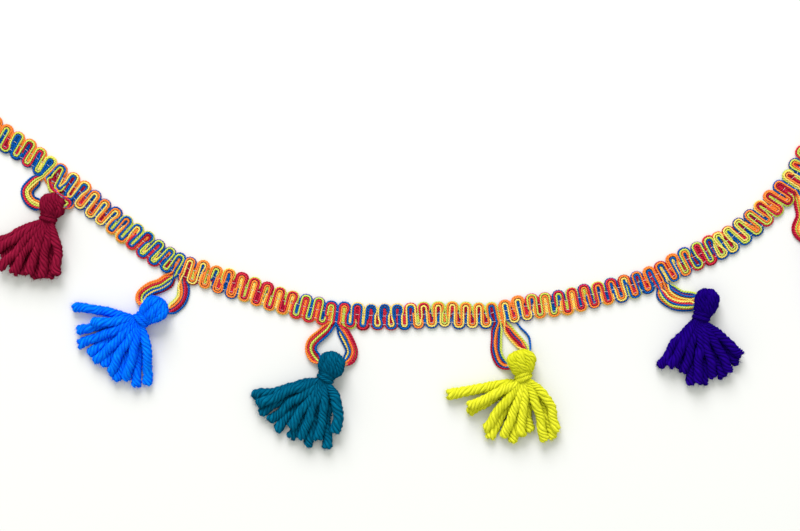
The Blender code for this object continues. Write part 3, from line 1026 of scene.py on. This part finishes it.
    def build_strand(self, strand: Strand) -> bpy.types.Object:
        """Spin one strand: a two-ply section that turns as it goes.

        Args:
            strand: which strand.

        Returns:
            The piece.
        """
        route = softened(spaced(self.strand_route(strand), self.STEP), 1)
        run = runs_of(route)
        side, lift = upright_frames(route)
        turn = -math.tau * np.arange(len(route)) / self.STEPS_A_TURN + strand.number
        corner = math.tau * np.arange(self.SIDES) / self.SIDES
        wide, narrow = self.WIDE * np.cos(corner), self.NARROW * np.sin(corner)
        from_line = np.linalg.norm(route[:, None, :2] - self.line.points[None, ::3], axis=2).min(axis=1)
        swell = 1 + wander(run, 31 + strand.number, wavelength=23.0, size=0.05)
        in_loop = eased((from_line - self.LOOP_SWELL_FROM) / self.LOOP_SWELL_OVER)
        swell = swell + self.LOOP_SWELL * in_loop
        first = swell[:, None] * (np.cos(turn)[:, None] * wide - np.sin(turn)[:, None] * narrow)
        second = swell[:, None] * (np.sin(turn)[:, None] * wide + np.cos(turn)[:, None] * narrow)
        rings = route[:, None] + first[..., None] * side[:, None] + second[..., None] * lift[:, None]
        rings[..., 2] = np.maximum(rings[..., 2], self.LOWEST)
        ends = rings[[0, -1]]
        middles = ends.mean(axis=1, keepdims=True)
        rings[[0, -1]] = middles * self.END_GATHER + ends * (1 - self.END_GATHER)
        # Painted shade: a strand is darker where it lies low and on its lower flanks, with a slow
        # random unevenness along it.
        on_face = (rings[..., 2] - route[:, 2:]) / self.WIDE
        height_shade_and_tone = self.DEEP_TONE + self.RAISED_TONE * eased((route[:, 2] - 0.6) / 0.8)
        height_shade_and_tone = height_shade_and_tone + wander(run, 61 + strand.number, wavelength=30.0, size=0.10)
        shade_and_tone = eased(self.SIDE_TONE + self.FACE_TONE * on_face) * height_shade_and_tone[:, None]
        draft = MeshDraft()
        draft.add_tube(rings, run, np.clip(shade_and_tone, 0.0, 1.0))
        piece = draft.build(f"braid_{strand.name.lower()}", strand_finish(strand).material())
        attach(piece, "root")
        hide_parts("braid", *[f"loop_{loop.number}" for loop in self.loops.values()])
        return piece

    def build_stitches(self) -> bpy.types.Object:
        """The fine pale thread that runs over the legs and down between them.

        Returns:
            The piece.
        """
        draft = MeshDraft()
        # The thread lit and in painted shade, with a little painted shade in its creases.
        finish = FibreFinish(
            "pale_thread", (0.92, 0.88, 0.86), (0.62, 0.55, 0.52), around=1.0, along=3.0, crease=0.2
        )
        run = np.arange(self.THREAD_END, self.line.length - self.THREAD_END, self.pitch / 8)
        slides = np.array([(row[0], (row[1] + row[2]) / 2) for row in SLIDES])
        bends = run / self.pitch
        beat = np.abs(np.cos(math.tau * (bends - np.interp(bends, slides[:, 0], slides[:, 1]))))
        for offset, crest, drop in self.STITCH_ROWS:
            strays = wander(run, 90 + int(offset), wavelength=14.0, size=0.25)
            flat = self.line.beside(run, offset + strays)
            route = np.column_stack([flat, crest - drop * (1 - beat)])
            ring = self.THREAD_RADIUS * round_rings(3, *upright_frames(route))
            draft.add_tube(route[:, None] + ring, run, self.THREAD_TONE)
        piece = draft.build("braid_stitches", finish.material())
        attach(piece, "root")
        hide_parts("braid")
        return piece

    def build(self) -> None:
        """Build every strand and the stitches."""
        for strand in Strand:
            self.build_strand(strand)
        self.build_stitches()


# The tassels ----------------------------------------------------------------------------------


@dataclass(frozen=True)
class YarnEnd:
    """One cut end of yarn: its direction in degrees from +X, its length from the tie, its sideways
    bow, and its thickness against the others'."""

    bearing: float
    reach: float
    bow: float = 0.0
    thick: float = 1.0


@dataclass(frozen=True)
class Yarn:
    """A route of five-ply yarn, with its radius and how light it is at each point, from painted shade
    and a random unevenness.
    """

    route: np.ndarray
    radius: np.ndarray
    lightness: np.ndarray
    seed: int


class YarnSpinner:
    """Turns routes of yarn into twisted plies, and sheds loose fibres from them."""

    PLIES = 5
    SIDES = 6
    STEP = 0.65
    LOWEST = 0.03
    LOOSE_FIBRE = (0.6, 1.6)
    TWIST = 4.9
    PLY_REACH = 0.52
    PLY_RADIUS = 0.48
    SPARE = (-0.7, 0.6)
    OPENING = 0.25
    OPENING_REACH = 2.5
    TEXTURE_SHIFT = 37.0
    UNCUT = 99.0
    # Painted shade: a ply's darkest value, on its sides, and what facing up adds.
    SIDE_TONE = 0.36
    FACE_TONE = 0.64
    FIBRE_TONE = 0.95
    # A loose fibre: its two radii, how it sets off, and how far it leans.
    FIBRE_RADII = (0.035, 0.012)
    FIBRE_ONWARD = 0.85
    FIBRE_AWAY = 0.30
    FIBRE_LEAN = 0.35
    FIBRE_STRAY = 0.4
    FIBRE_ROOT = 0.97
    DOWNWARD = -0.5
    # A fibre of a cut end.
    END_RADII = (0.035, 0.015)
    END_LEAN = 0.30

    def __init__(self, seed: int) -> None:
        """An empty spinner.

        Args:
            seed: what its small irregularities are drawn from.
        """
        self.draft = MeshDraft()
        self.rng = np.random.default_rng(seed)
        self.skins: list[np.ndarray] = []

    def spin(self, yarn: Yarn, cut_start: bool = True, cut_end: bool = True) -> None:
        """Add one length of yarn.

        Args:
            yarn: its route and radii.
            cut_start: whether it starts in a cut end, where the plies open.
            cut_end: whether it ends in one.
        """
        run = runs_of(yarn.route)
        first, second = carried_frames(yarn.route, np.array([0.0, 0.0, 1.0]))
        unevenness = int(self.rng.integers(1 << 30))
        twist = math.tau * np.concatenate([[0.0], np.cumsum(np.diff(run) / yarn.radius[1:])])
        for ply in range(self.PLIES):
            spare = self.rng.uniform(*self.SPARE, 2)
            places = np.arange(-spare[0] * cut_start, run[-1] + spare[1] * cut_end, self.STEP)
            inside = np.clip(places, 0.0, run[-1])
            centre = read_along(inside, run, yarn.route)
            heading = read_along(inside, run, np.gradient(yarn.route, run, axis=0))
            centre = centre + unit(heading) * (places - inside)[:, None]
            out = read_along(inside, run, first)
            over = read_along(inside, run, second)
            radius = np.interp(inside, run, yarn.radius)
            to_end = np.full(len(places), self.UNCUT)
            if cut_start:
                to_end = np.minimum(to_end, places - places[0])
            if cut_end:
                to_end = np.minimum(to_end, places[-1] - places)
            blunt = np.clip((to_end + 0.12) / (0.5 * radius), 0.0, 1.0)
            blunt = np.sqrt(blunt * (2 - blunt))
            opened = 1 + self.OPENING * np.exp(-to_end / self.OPENING_REACH)
            angle = math.tau * ply / self.PLIES - np.interp(places, run, twist) / self.TWIST
            angle = angle + yarn.seed + wander(places, unevenness, wavelength=19.0, size=0.55)
            outward = np.cos(angle)[:, None] * out + np.sin(angle)[:, None] * over
            onward = -np.sin(angle)[:, None] * out + np.cos(angle)[:, None] * over
            seed = int(self.rng.integers(1 << 30))
            plump = 1 + wander(places, seed, wavelength=12.0, size=0.12)
            reach = radius * self.PLY_REACH * opened * (0.7 + 0.3 * blunt)
            core = centre + outward * reach[:, None]
            thick = (radius * self.PLY_RADIUS * plump * blunt * opened**0.6)[:, None, None]
            rings = core[:, None] + thick * round_rings(self.SIDES, outward, onward)
            rings[..., 2] = np.maximum(rings[..., 2], self.LOWEST)
            # Painted shade: each ply is darker on its lower flank, times the yarn's own painted shade
            # and a random unevenness.
            on_face = (rings[..., 2] - centre[:, 2:]) / radius[:, None]
            lightness = np.interp(inside, run, yarn.lightness)
            lightness = lightness + wander(places, seed + 1, wavelength=9.0, size=0.14)
            shade_and_tone = eased(self.SIDE_TONE + self.FACE_TONE * on_face) * lightness[:, None]
            self.draft.add_tube(rings, places + self.TEXTURE_SHIFT * ply, np.clip(shade_and_tone, 0.0, 1.0))
            self.skins.append(np.concatenate([core, outward, onward, thick[:, 0]], axis=1))

    def _fibre(self, places: tuple[np.ndarray, ...], widths: tuple[float, ...]) -> None:
        """Add one loose fibre.

        Args:
            places: the points that it runs through.
            widths: its radius at each.
        """
        route = np.array(places)
        first, second = carried_frames(route, np.array([0.3, 0.2, 1.0]))
        rings = route[:, None] + np.array(widths)[:, None, None] * round_rings(3, first, second)
        rings[..., 2] = np.maximum(rings[..., 2], self.LOWEST)
        self.draft.add_tube(rings, runs_of(route), self.FIBRE_TONE, around=0.0)

    def shed(self, count: int, length: tuple[float, float]) -> None:
        """Add loose fibres that stand a little off the plies.

        Args:
            count: how many.
            length: their shortest and longest length.
        """
        skins = np.vstack([skin[:-1] for skin in self.skins])
        steps = np.vstack([np.diff(skin[:, :3], axis=0) for skin in self.skins])
        for pick in self.rng.integers(len(skins), size=count):
            core, outward, onward, thick = np.split(skins[pick], [3, 6, 9])
            turn = self.rng.uniform(-0.9, 0.9)
            away = math.cos(turn) * outward + math.sin(turn) * onward
            if away[2] < self.DOWNWARD:
                continue
            start = core + away * thick * self.FIBRE_ROOT
            heading = unit(steps[pick]) * self.rng.choice([-1.0, 1.0])
            reach = self.rng.uniform(*length)
            lean = self.rng.normal(0.0, self.FIBRE_LEAN, 3)
            way = heading * self.FIBRE_ONWARD + away * self.FIBRE_AWAY + lean * self.FIBRE_STRAY
            self._fibre((start, start + way * reach), self.FIBRE_RADII)

    def brush_out(self, count: int, reach: float) -> None:
        """Add the short fibres of the cut ends.

        Args:
            count: how many at each end of a ply.
            reach: how far the longest stands out of the end.
        """
        for skin in self.skins:
            for tip, behind in ((skin[0], skin[3]), (skin[-1], skin[-4])):
                heading = unit(tip[:3] - behind[:3])
                for _ in range(count):
                    lean = self.rng.normal(0.0, self.END_LEAN, 3)
                    start = behind[:3] + (tip[:3] - behind[:3]) * self.rng.uniform(0.3, 0.9)
                    start = start + (lean + 0.1 * tip[3:6]) * behind[9] * 1.6
                    way = unit(heading + 0.8 * lean) * reach * self.rng.uniform(0.3, 1.0)
                    self._fibre((start, tip[:3] + lean * behind[9] * 2.0 + way), self.END_RADII)


@dataclass(frozen=True)
class Tassel:
    """One tassel, with its places counted from where its loop leaves the braid."""

    name: str
    loop: TrimLoop
    tie: tuple[float, float]
    head_half_length: float
    ends: tuple[YarnEnd, ...]
    finish: FibreFinish
    wraps: float = 2.0
    wrap_tilt: float = 0.0

    middle_height: float = 4.2
    half_thickness: float = 4.4
    head_yarn: float = 1.80
    neck_yarn: float = 1.10
    skirt_yarn: float = 2.12
    # Painted shade: how light the tight head is against the skirt.
    head_lightness: float = 0.45
    neck_height: float = 3.7

    SQUASH = 0.75
    UNEVEN = 0.55
    CROWN_UNEVEN = 0.16
    RISE_UNEVEN = 0.22
    SHOULDER = 0.72
    TIP_PARTS = (0.28, 0.55, 0.8, 1.0)
    SETTLE_FROM = 2.0
    SETTLE_OVER = 9.0
    RESTING = 0.93
    WAVE_OVER = 12.0
    # Painted shade in the skirt: its value at the tie and what is added towards the ends, how far that
    # takes, a random spread between yarns, and more painted shade on the lower yarn of each pair.
    SKIRT_LIGHTNESS = (0.55, 0.45)
    LIGHTENS_OVER = 24.0
    LIGHTNESS_SPREAD = 0.15
    LOWER_DARKER = 0.12
    NECK_SPREAD = 1.75
    STACKING = 1.75
    LOOSE_FIBRES = 3000
    WRAP_FIBRES = 80
    END_FIBRES = 10
    END_REACH = 0.55
    WRAP_PITCH = 1.75
    WRAP_ACROSS = 3.05
    WRAP_HIGH = 2.55
    WRAP_YARN = 1.05
    # Painted shade on the yarn wound round the neck.
    WRAP_LIGHTNESS = 0.62
    WRAP_STEPS = 26

    def _hairpin(self, number: int, braid: Braid) -> Yarn:
        """One length of yarn folded over the loop, from its lower cut end to its upper one.

        Args:
            number: which, counted across the head.
            braid: the braid that the loop hangs from.

        Returns:
            The yarn.
        """
        root = self.loop.root(braid.line, braid.pitch)
        head, tie = np.array(self.loop.head), np.array(self.tie)
        axis = unit(tie - head)
        cross = np.array([-axis[1], axis[0]])
        neck_run = float(np.linalg.norm(tie - head))
        hairpins = len(self.ends) // 2
        half = self.loop.head_half_width
        spread = (number - (hairpins - 1) / 2) / ((hairpins - 1) / 2)
        lateral = spread * (half - self.head_yarn)
        plump = math.sqrt(1 - self.SQUASH * (lateral / half) ** 2)
        crown = self.head_half_length * plump
        rise = (self.half_thickness - self.head_yarn) * plump
        rng = np.random.default_rng(1000 * self.loop.number + number)
        uneven = rng.uniform(-self.UNEVEN, self.UNEVEN, 4)
        crown = crown * (1 + self.CROWN_UNEVEN * uneven[2])
        rise = rise * (1 + self.RISE_UNEVEN * uneven[3])
        sides = []
        for upper in (0, 1):
            end = self.ends[2 * number + upper]
            sign = 1 if upper else -1
            height = max(self.middle_height + sign * rise, self.head_yarn)
            shoulder = self.middle_height + sign * self.SHOULDER * rise
            neck = (2 * number + upper - len(self.ends) / 2 + 0.5) / (len(self.ends) / 2)
            neck = neck * self.NECK_SPREAD
            cheek = height - sign * 0.35
            tied = self.neck_height + sign * 1.0
            # Each row: how far from the head towards the tie, how far across, and how high.
            rows = [
                (-0.80 * crown + 0.2 * self.head_yarn, lateral * 0.80, shoulder),
                (-0.30 * crown, lateral + uneven[0], height),
                (0.40 * crown, lateral * 0.92 + uneven[1], cheek),
                (
                    0.5 * (0.6 * crown + neck_run - 1.2),
                    0.5 * lateral + 0.5 * neck,
                    0.45 * cheek + 0.55 * tied,
                ),
                (neck_run, neck, tied),
                (neck_run + 2.0, neck * 1.25, self.neck_height + sign * 0.95),
            ]
            places = [root + head + axis * row[0] + cross * row[1] for row in rows]
            heights = [row[2] for row in rows]
            bearing = math.radians(end.bearing)
            outward = np.array([math.cos(bearing), math.sin(bearing)])
            sideways = np.array([-outward[1], outward[0]])
            gap = self._gap(2 * number + upper)
            start = places[-1]
            tip = root + tie + outward * end.reach
            for part in self.TIP_PARTS:
                place = start + (tip - start) * part
                place = place + sideways * end.bow * math.sin(math.pi * part**0.8)
                ahead = float(np.linalg.norm(place - root - tie))
                thick = self._skirt_radius(ahead, end)
                lift = 0.0
                if upper:
                    lift = math.sqrt(max(0.0, (self.STACKING * thick) ** 2 - (ahead * gap) ** 2))
                settle = float(eased((ahead - self.SETTLE_FROM) / self.SETTLE_OVER))
                resting = thick * self.RESTING + lift
                places.append(place)
                heights.append((1 - settle) * heights[5] + settle * resting)
            sides.append(np.column_stack([places, heights]))
        crown_place = root + head - axis * (crown - 0.75 * self.head_yarn) + cross * lateral * 0.62
        crown_row = np.array([[*crown_place, self.middle_height]])
        knots = np.vstack([sides[0][::-1], crown_row, sides[1]])
        route = softened(spaced(smooth_route(knots, 10), 0.5), 2)
        route = self._waved(route, root + tie, axis, number)
        radius, lightness = self._radii(route, number, braid)
        return Yarn(route, radius, lightness, 1 + number)

    def _waved(
        self, route: np.ndarray, tie: np.ndarray, axis: np.ndarray, number: int
    ) -> np.ndarray:
        """A hairpin's route with a slight wave in its two ends.

        Args:
            route: its points.
            tie: where the neck is tied.
            axis: the direction from the head to the tie.
            number: which hairpin it is.

        Returns:
            As many points.
        """
        heading = unit(np.gradient(route[:, :2], axis=0))
        sideways = np.column_stack([-heading[:, 1], heading[:, 0]])
        ahead = (route[:, :2] - tie) @ axis
        seed = 20 * self.loop.number + number
        wave = wander(runs_of(route), seed, wavelength=30.0, size=0.5)
        wave = wave * eased((ahead - self.SETTLE_FROM) / self.WAVE_OVER)
        return np.column_stack([route[:, :2] + sideways * wave[:, None], route[:, 2]])

    def _gap(self, index: int) -> float:
        """The angle from one end to the nearer of its neighbours, in radians."""
        bearings = [end.bearing for end in self.ends]
        beside = [other for other in (index - 1, index + 1) if 0 <= other < len(bearings)]
        return math.radians(min(abs(bearings[index] - bearings[other]) for other in beside))

    def _skirt_radius(self, ahead: float, end: YarnEnd) -> float:
        """The yarn's radius this far from the tie, in the skirt."""
        grown = float(eased((ahead - 1.0) / 9.0))
        return self.neck_yarn + (self.skirt_yarn * end.thick - self.neck_yarn) * grown

    def _radii(
        self, route: np.ndarray, number: int, braid: Braid
    ) -> tuple[np.ndarray, np.ndarray]:
        """The radius and the lightness at each point of a hairpin's route.

        Args:
            route: its points.
            number: which hairpin it is.
            braid: the braid that the loop hangs from.

        Returns:
            One radius a point, and one lightness a point: painted shade darkens the tight head and the
            lower yarn.
        """
        root = self.loop.root(braid.line, braid.pitch)
        head, tie = root + np.array(self.loop.head), root + np.array(self.tie)
        axis = unit(tie - head)
        along = (route[:, :2] - tie) @ axis
        ahead = np.linalg.norm(route[:, :2] - tie, axis=1)
        in_skirt = along > 0
        half_way = len(route) // 2
        ends = [self.ends[2 * number + (index >= half_way)] for index in range(len(route))]
        skirt = np.array([self._skirt_radius(far, end) for far, end in zip(ahead, ends)])
        grown = eased(-along / 3.2)
        head_part = self.neck_yarn + (self.head_yarn - self.neck_yarn) * grown
        # Painted shade: darker at the head, lightening from the tie towards the cut ends, the lower
        # yarn of each pair darker still.
        at_tie, added = self.SKIRT_LIGHTNESS
        skirt_shade_to_light = at_tie + added * eased(ahead / self.LIGHTENS_OVER)
        lightness = np.where(in_skirt, skirt_shade_to_light, self.head_lightness)
        rng = np.random.default_rng(500 * self.loop.number + number)
        low, high = rng.uniform(-self.LIGHTNESS_SPREAD, self.LIGHTNESS_SPREAD, 2)
        is_lower = np.arange(len(route)) < half_way
        lightness = lightness + np.where(is_lower, low - self.LOWER_DARKER, high)
        return np.where(in_skirt, skirt, head_part), lightness

    def _wrap(self, braid: Braid) -> Yarn:
        """The yarn wound round the neck.

        Args:
            braid: the braid that the loop hangs from.

        Returns:
            The yarn.
        """
        root = self.loop.root(braid.line, braid.pitch)
        head, tie = np.array(self.loop.head), np.array(self.tie)
        axis = unit(tie - head)
        cross = np.array([-axis[1], axis[0]])
        turn = math.tau * np.linspace(-0.25, self.wraps - 0.05, int(self.WRAP_STEPS * self.wraps))
        along = (turn / math.tau - self.wraps / 2 + 0.15) * self.WRAP_PITCH
        along = along + self.wrap_tilt * np.cos(turn)
        flat = root + tie + np.outer(along, axis) + np.outer(self.WRAP_ACROSS * np.cos(turn), cross)
        route = np.column_stack([flat, self.neck_height + self.WRAP_HIGH * np.sin(turn)])
        route = spaced(smooth_route(route, 3), 0.4)
        radius = np.full(len(route), self.WRAP_YARN)
        return Yarn(route, radius, np.full(len(route), self.WRAP_LIGHTNESS), 3)

    def build(self, braid: Braid) -> None:
        """Spin the folded yarn and the tie.

        Args:
            braid: the braid that the loop hangs from.
        """
        number = self.loop.number
        spinner = YarnSpinner(40 + number)
        for hairpin in range(len(self.ends) // 2):
            spinner.spin(self._hairpin(hairpin, braid))
        spinner.shed(self.LOOSE_FIBRES, spinner.LOOSE_FIBRE)
        spinner.brush_out(self.END_FIBRES, self.END_REACH)
        piece = spinner.draft.build(f"yarn_{number}_{self.name}", self.finish.material())
        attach(piece, "root")
        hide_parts(f"tassel_{number}")
        winder = YarnSpinner(80 + number)
        winder.spin(self._wrap(braid))
        winder.shed(self.WRAP_FIBRES, winder.LOOSE_FIBRE)
        piece = winder.draft.build(f"wrap_{number}_{self.name}", self.finish.material())
        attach(piece, "root")
        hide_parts(f"tie_{number}")


LOOPS = (
    TrimLoop(
        1,
        ((-1.4, -0.2), (-5.2, -3.6), (-6.8, -6.6), (-5.4, -10.0), (-1.4, -12.0), (4.7, -12.6),
         (10.2, -12.4), (11.6, -10.6), (8.4, -8.8), (4.8, -5.8), (1.6, -1.6)),
        (4.7, -12.2),
        5.6,
        Arm("BRLrOYob", (-2.4, -1.4, -0.4, -0.9, 0.0, 0.5, 1.4, 2.3), "rO"),
        Arm("OBRrLYbo", (-1.9, -1.1, -0.3, 0.3, 0.9, 1.5, 0.0, 0.6), "bo"),
    ),
    TrimLoop(
        2,
        ((-1.4, -0.2), (-5.6, -3.2), (-10.8, -5.4), (-14.4, -8.2), (-14.0, -11.6), (-9.0, -14.1),
         (-2.8, -14.4), (1.8, -11.2), (3.4, -6.6), (1.7, -1.0)),
        (-9.0, -14.1),
        5.9,
        Arm("OoRLBYbr", (-2.5, -1.9, -1.0, 0.0, 0.9, 1.5, 2.3, 2.9), "r"),
        Arm("BrRbOoYL", (-2.2, -1.2, -0.6, 0.1, 0.7, 1.3, 1.9, 2.4), "bL"),
    ),
    TrimLoop(
        3,
        ((-1.6, 0.0), (-5.8, -4.0), (-9.9, -8.0), (-10.2, -11.8), (-7.2, -15.4), (-1.2, -17.0),
         (5.0, -15.9), (7.4, -11.8), (5.6, -6.6), (1.6, -0.3)),
        (-1.2, -17.0),
        5.9,
        Arm("OoRLYrbB", (-1.95, -1.45, -0.8, 0.15, 0.6, 1.3, 1.7, 2.2), "oYb"),
        Arm("rLROoBYb", (-2.1, -1.6, -1.1, -0.35, 0.2, 0.85, 1.65, 2.5), "Lo"),
    ),
    TrimLoop(
        4,
        ((-1.6, -0.3), (-2.2, -6.8), (-2.0, -12.4), (0.0, -16.8), (3.8, -18.4), (8.4, -16.6),
         (11.0, -12.4), (8.6, -8.2), (5.0, -4.2), (1.6, 0.1)),
        (8.4, -16.5),
        6.2,
        Arm("rBOoRbYL", (-2.0, -1.25, -0.35, 0.1, 0.6, 1.1, 1.6, 2.1), "oRY"),
        Arm("BLobrRYO", (-4.1, -1.3, -0.4, 0.4, 0.9, 1.4, 2.6, 2.0), "b"),
    ),
    TrimLoop(
        5,
        ((-1.6, -0.8), (-0.6, -4.8), (3.4, -8.4), (9.0, -9.6), (14.4, -9.2), (19.4, -8.6),
         (20.2, -6.1), (14.6, -4.4), (8.4, -3.6), (4.4, -1.2), (1.8, 1.0)),
        (18.6, -7.3),
        5.1,
        Arm("bOLBRYro", (-1.4, -0.7, 0.0, 0.9, 1.7, 2.5, 2.1, 0.4), "ro"),
        Arm("LbrBRYoO", (-1.0, -0.3, 0.3, 0.8, 1.3, 2.0, 2.5, 3.0), "R"),
    ),
    TrimLoop(
        6,
        ((-1.2, -1.2), (0.4, -6.4), (1.0, -11.6), (-0.6, -17.0), (3.2, -21.2), (9.2, -21.8),
         (12.8, -17.4), (10.4, -11.2), (5.8, -4.2), (1.3, 0.6)),
        (9.2, -21.6),
        5.6,
        Arm("rRLOYBbo", (-1.9, -1.2, -0.5, 0.2, 0.9, 1.5, 2.1, 0.5), "o"),
        Arm("BLRrOYob", (-2.1, -1.4, -0.7, 0.0, 0.7, 1.4, 2.0, 0.3), "b"),
    ),
)


def yarn_finish(
    name: str, light: tuple[float, float, float], deep: tuple[float, float, float]
) -> FibreFinish:
    """A bulky soft yarn in one colour, given lit and in painted shade."""
    return FibreFinish(
        f"bulky_{name}", light, deep, around=1.6, along=0.55, crease=0.42, shade=0.70, bump_depth=0.35
    )


# Each tassel's yarn is given lit and in painted shade.
TASSELS = (
    Tassel(
        "maroon",
        LOOPS[0],
        (3.0, -17.4),
        5.0,
        (
            YarnEnd(205, 26.5), YarnEnd(212, 27.7), YarnEnd(219, 26.5), YarnEnd(226, 30.7),
            YarnEnd(231, 27.0), YarnEnd(237, 28.5), YarnEnd(244, 27.3), YarnEnd(250, 25.5),
            YarnEnd(256, 26.8), YarnEnd(264, 26.7), YarnEnd(271, 26.2), YarnEnd(278, 25.6, 1.2),
        ),
        yarn_finish("maroon", (0.34, 0.013, 0.050), (0.10, 0.001, 0.013)),
    ),
    Tassel(
        "sky",
        LOOPS[1],
        (-14.0, -18.4),
        5.4,
        (
            YarnEnd(169, 30.6), YarnEnd(184, 22.0), YarnEnd(190, 28.8), YarnEnd(202, 30.5),
            YarnEnd(212, 28.0), YarnEnd(221, 28.0), YarnEnd(230, 26.5), YarnEnd(238, 27.7),
            YarnEnd(247, 28.9), YarnEnd(255, 27.1), YarnEnd(263, 29.6), YarnEnd(273, 28.8, 1.6),
        ),
        yarn_finish("sky", (0.003, 0.30, 1.0), (0.000, 0.015, 0.92)),
        wraps=1.6,
        head_lightness=0.7,
    ),
    Tassel(
        "teal",
        LOOPS[2],
        (-3.8, -22.6),
        5.1,
        (
            YarnEnd(195, 32.5), YarnEnd(201, 32.3), YarnEnd(208, 32.1), YarnEnd(217, 31.3),
            YarnEnd(226, 31.6), YarnEnd(234, 27.0), YarnEnd(240, 30.5), YarnEnd(247, 28.9),
            YarnEnd(255, 30.8), YarnEnd(264, 27.6), YarnEnd(271, 30.5), YarnEnd(280, 24.4, 2.4, 1.15),
        ),
        yarn_finish("teal", (0.002, 0.178, 0.32), (0.000, 0.022, 0.065)),
        wrap_tilt=0.5,
    ),
    Tassel(
        "chartreuse",
        LOOPS[3],
        (9.3, -22.5),
        5.3,
        (
            YarnEnd(194, 33.7, 0.0, 1.12), YarnEnd(209, 27.0), YarnEnd(214, 28.3), YarnEnd(234, 29.0),
            YarnEnd(242, 30.6), YarnEnd(253, 27.8), YarnEnd(261, 28.7), YarnEnd(268, 26.0),
            YarnEnd(276, 24.2), YarnEnd(288, 29.2, 1.0), YarnEnd(295, 30.0, 1.8),
            YarnEnd(302, 28.0, 2.4),
        ),
        yarn_finish("chartreuse", (0.95, 0.93, 0.050), (0.44, 0.47, 0.002)),
        head_lightness=0.3,
        wraps=1.6,
        wrap_tilt=-0.5,
    ),
    Tassel(
        "violet",
        LOOPS[4],
        (16.4, -13.4),
        5.8,
        (
            YarnEnd(230, 28.1), YarnEnd(237, 25.8), YarnEnd(243, 24.3), YarnEnd(252, 25.7),
            YarnEnd(261, 30.0), YarnEnd(267, 28.8), YarnEnd(273, 29.7), YarnEnd(281, 26.7),
            YarnEnd(289.5, 28.1), YarnEnd(297, 26.9), YarnEnd(308, 25.7), YarnEnd(316, 24.0),
        ),
        yarn_finish("violet", (0.024, 0.002, 0.28), (0.0010, 0.000, 0.075)),
    ),
    Tassel(
        "lilac",
        LOOPS[5],
        (12.2, -27.0),
        5.2,
        (
            YarnEnd(266, 26.0), YarnEnd(271, 27.5), YarnEnd(277, 28.5), YarnEnd(282, 27.0),
            YarnEnd(287, 29.0), YarnEnd(292, 28.0), YarnEnd(297, 28.5), YarnEnd(302, 27.5),
            YarnEnd(307, 27.5), YarnEnd(312, 26.0), YarnEnd(318, 27.0), YarnEnd(324, 25.5),
        ),
        yarn_finish("lilac", (0.46, 0.16, 0.92), (0.14, 0.02, 0.42)),
    ),
)


# The studio -----------------------------------------------------------------------------------


@dataclass
class Studio:
    """The pale floor, the soft light and the camera above."""

    view_width: float = 0.344
    look_at: tuple[float, float] = (0.0, 0.0219)
    lens: float = 85.0
    sensor: float = 36.0
    floor_size: float = 6.0
    floor_drop: float = 0.00005
    mid_height: float = 0.002
    floor_colour: tuple[float, float, float] = (0.80, 0.80, 0.80)
    sky_colour: tuple[float, float, float] = (0.97, 1.0, 0.92)
    sky_strength: float = 0.76
    key_colour: tuple[float, float, float] = (1.0, 0.98, 1.0)
    key_power: float = 80.0
    key_size: float = 1.6
    key_place: tuple[float, float, float] = (-0.30, 2.25, 1.55)

    def build_floor(self) -> None:
        """A wide plain floor under the trim."""
        bpy.ops.object.select_all(action="DESELECT")
        bpy.ops.mesh.primitive_plane_add(size=self.floor_size, location=(0.0, 0.0, -self.floor_drop))
        floor = bpy.context.object
        floor.name = "floor"
        material = bpy.data.materials.new("floor_white")
        material.use_nodes = True
        shader = material.node_tree.nodes["Principled BSDF"]
        shader.inputs["Base Color"].default_value = (*self.floor_colour, 1.0)
        shader.inputs["Roughness"].default_value = 0.9
        shader.inputs["Specular IOR Level"].default_value = 0.1
        floor.data.materials.append(material)

    def build_light(self) -> None:
        """An even pale surround and one large soft light from above the trim's upper edge."""
        world = bpy.data.worlds.new("studio")
        bpy.context.scene.world = world
        world.use_nodes = True
        background = world.node_tree.nodes["Background"]
        background.inputs["Color"].default_value = (*self.sky_colour, 1.0)
        background.inputs["Strength"].default_value = self.sky_strength
        data = bpy.data.lights.new("key", "AREA")
        data.shape = "SQUARE"
        data.size = self.key_size
        data.energy = self.key_power
        data.color = self.key_colour
        light = bpy.data.objects.new("key", data)
        light.location = self.key_place
        aim = -Vector(self.key_place)
        light.rotation_euler = aim.to_track_quat("-Z", "Y").to_euler()
        light.visible_camera = False
        bpy.context.scene.collection.objects.link(light)

    def build_camera(self) -> None:
        """A camera that looks straight down on the swag."""
        data = bpy.data.cameras.new("camera")
        data.lens = self.lens
        data.sensor_width = self.sensor
        data.clip_end = 20.0
        camera = bpy.data.objects.new("camera", data)
        height = self.view_width * self.lens / self.sensor + self.mid_height
        camera.location = (*self.look_at, height)
        bpy.context.scene.collection.objects.link(camera)
        bpy.context.scene.camera = camera

    def build(self) -> None:
        """Build all of it and set how the scene is shown."""
        self.build_camera()
        self.build_floor()
        self.build_light()
        bpy.context.scene.view_settings.view_transform = "Standard"


def main() -> None:
    """Build every piece in order."""
    logging.basicConfig(level=logging.INFO, format="%(message)s")
    bpy.ops.object.select_all(action="DESELECT")
    Studio().build()
    braid = Braid(LOOPS)
    braid.build()
    for tassel in TASSELS:
        tassel.build(braid)
        LOG.info("%s tassel built", tassel.name)


if __name__ == "__main__":
    main()
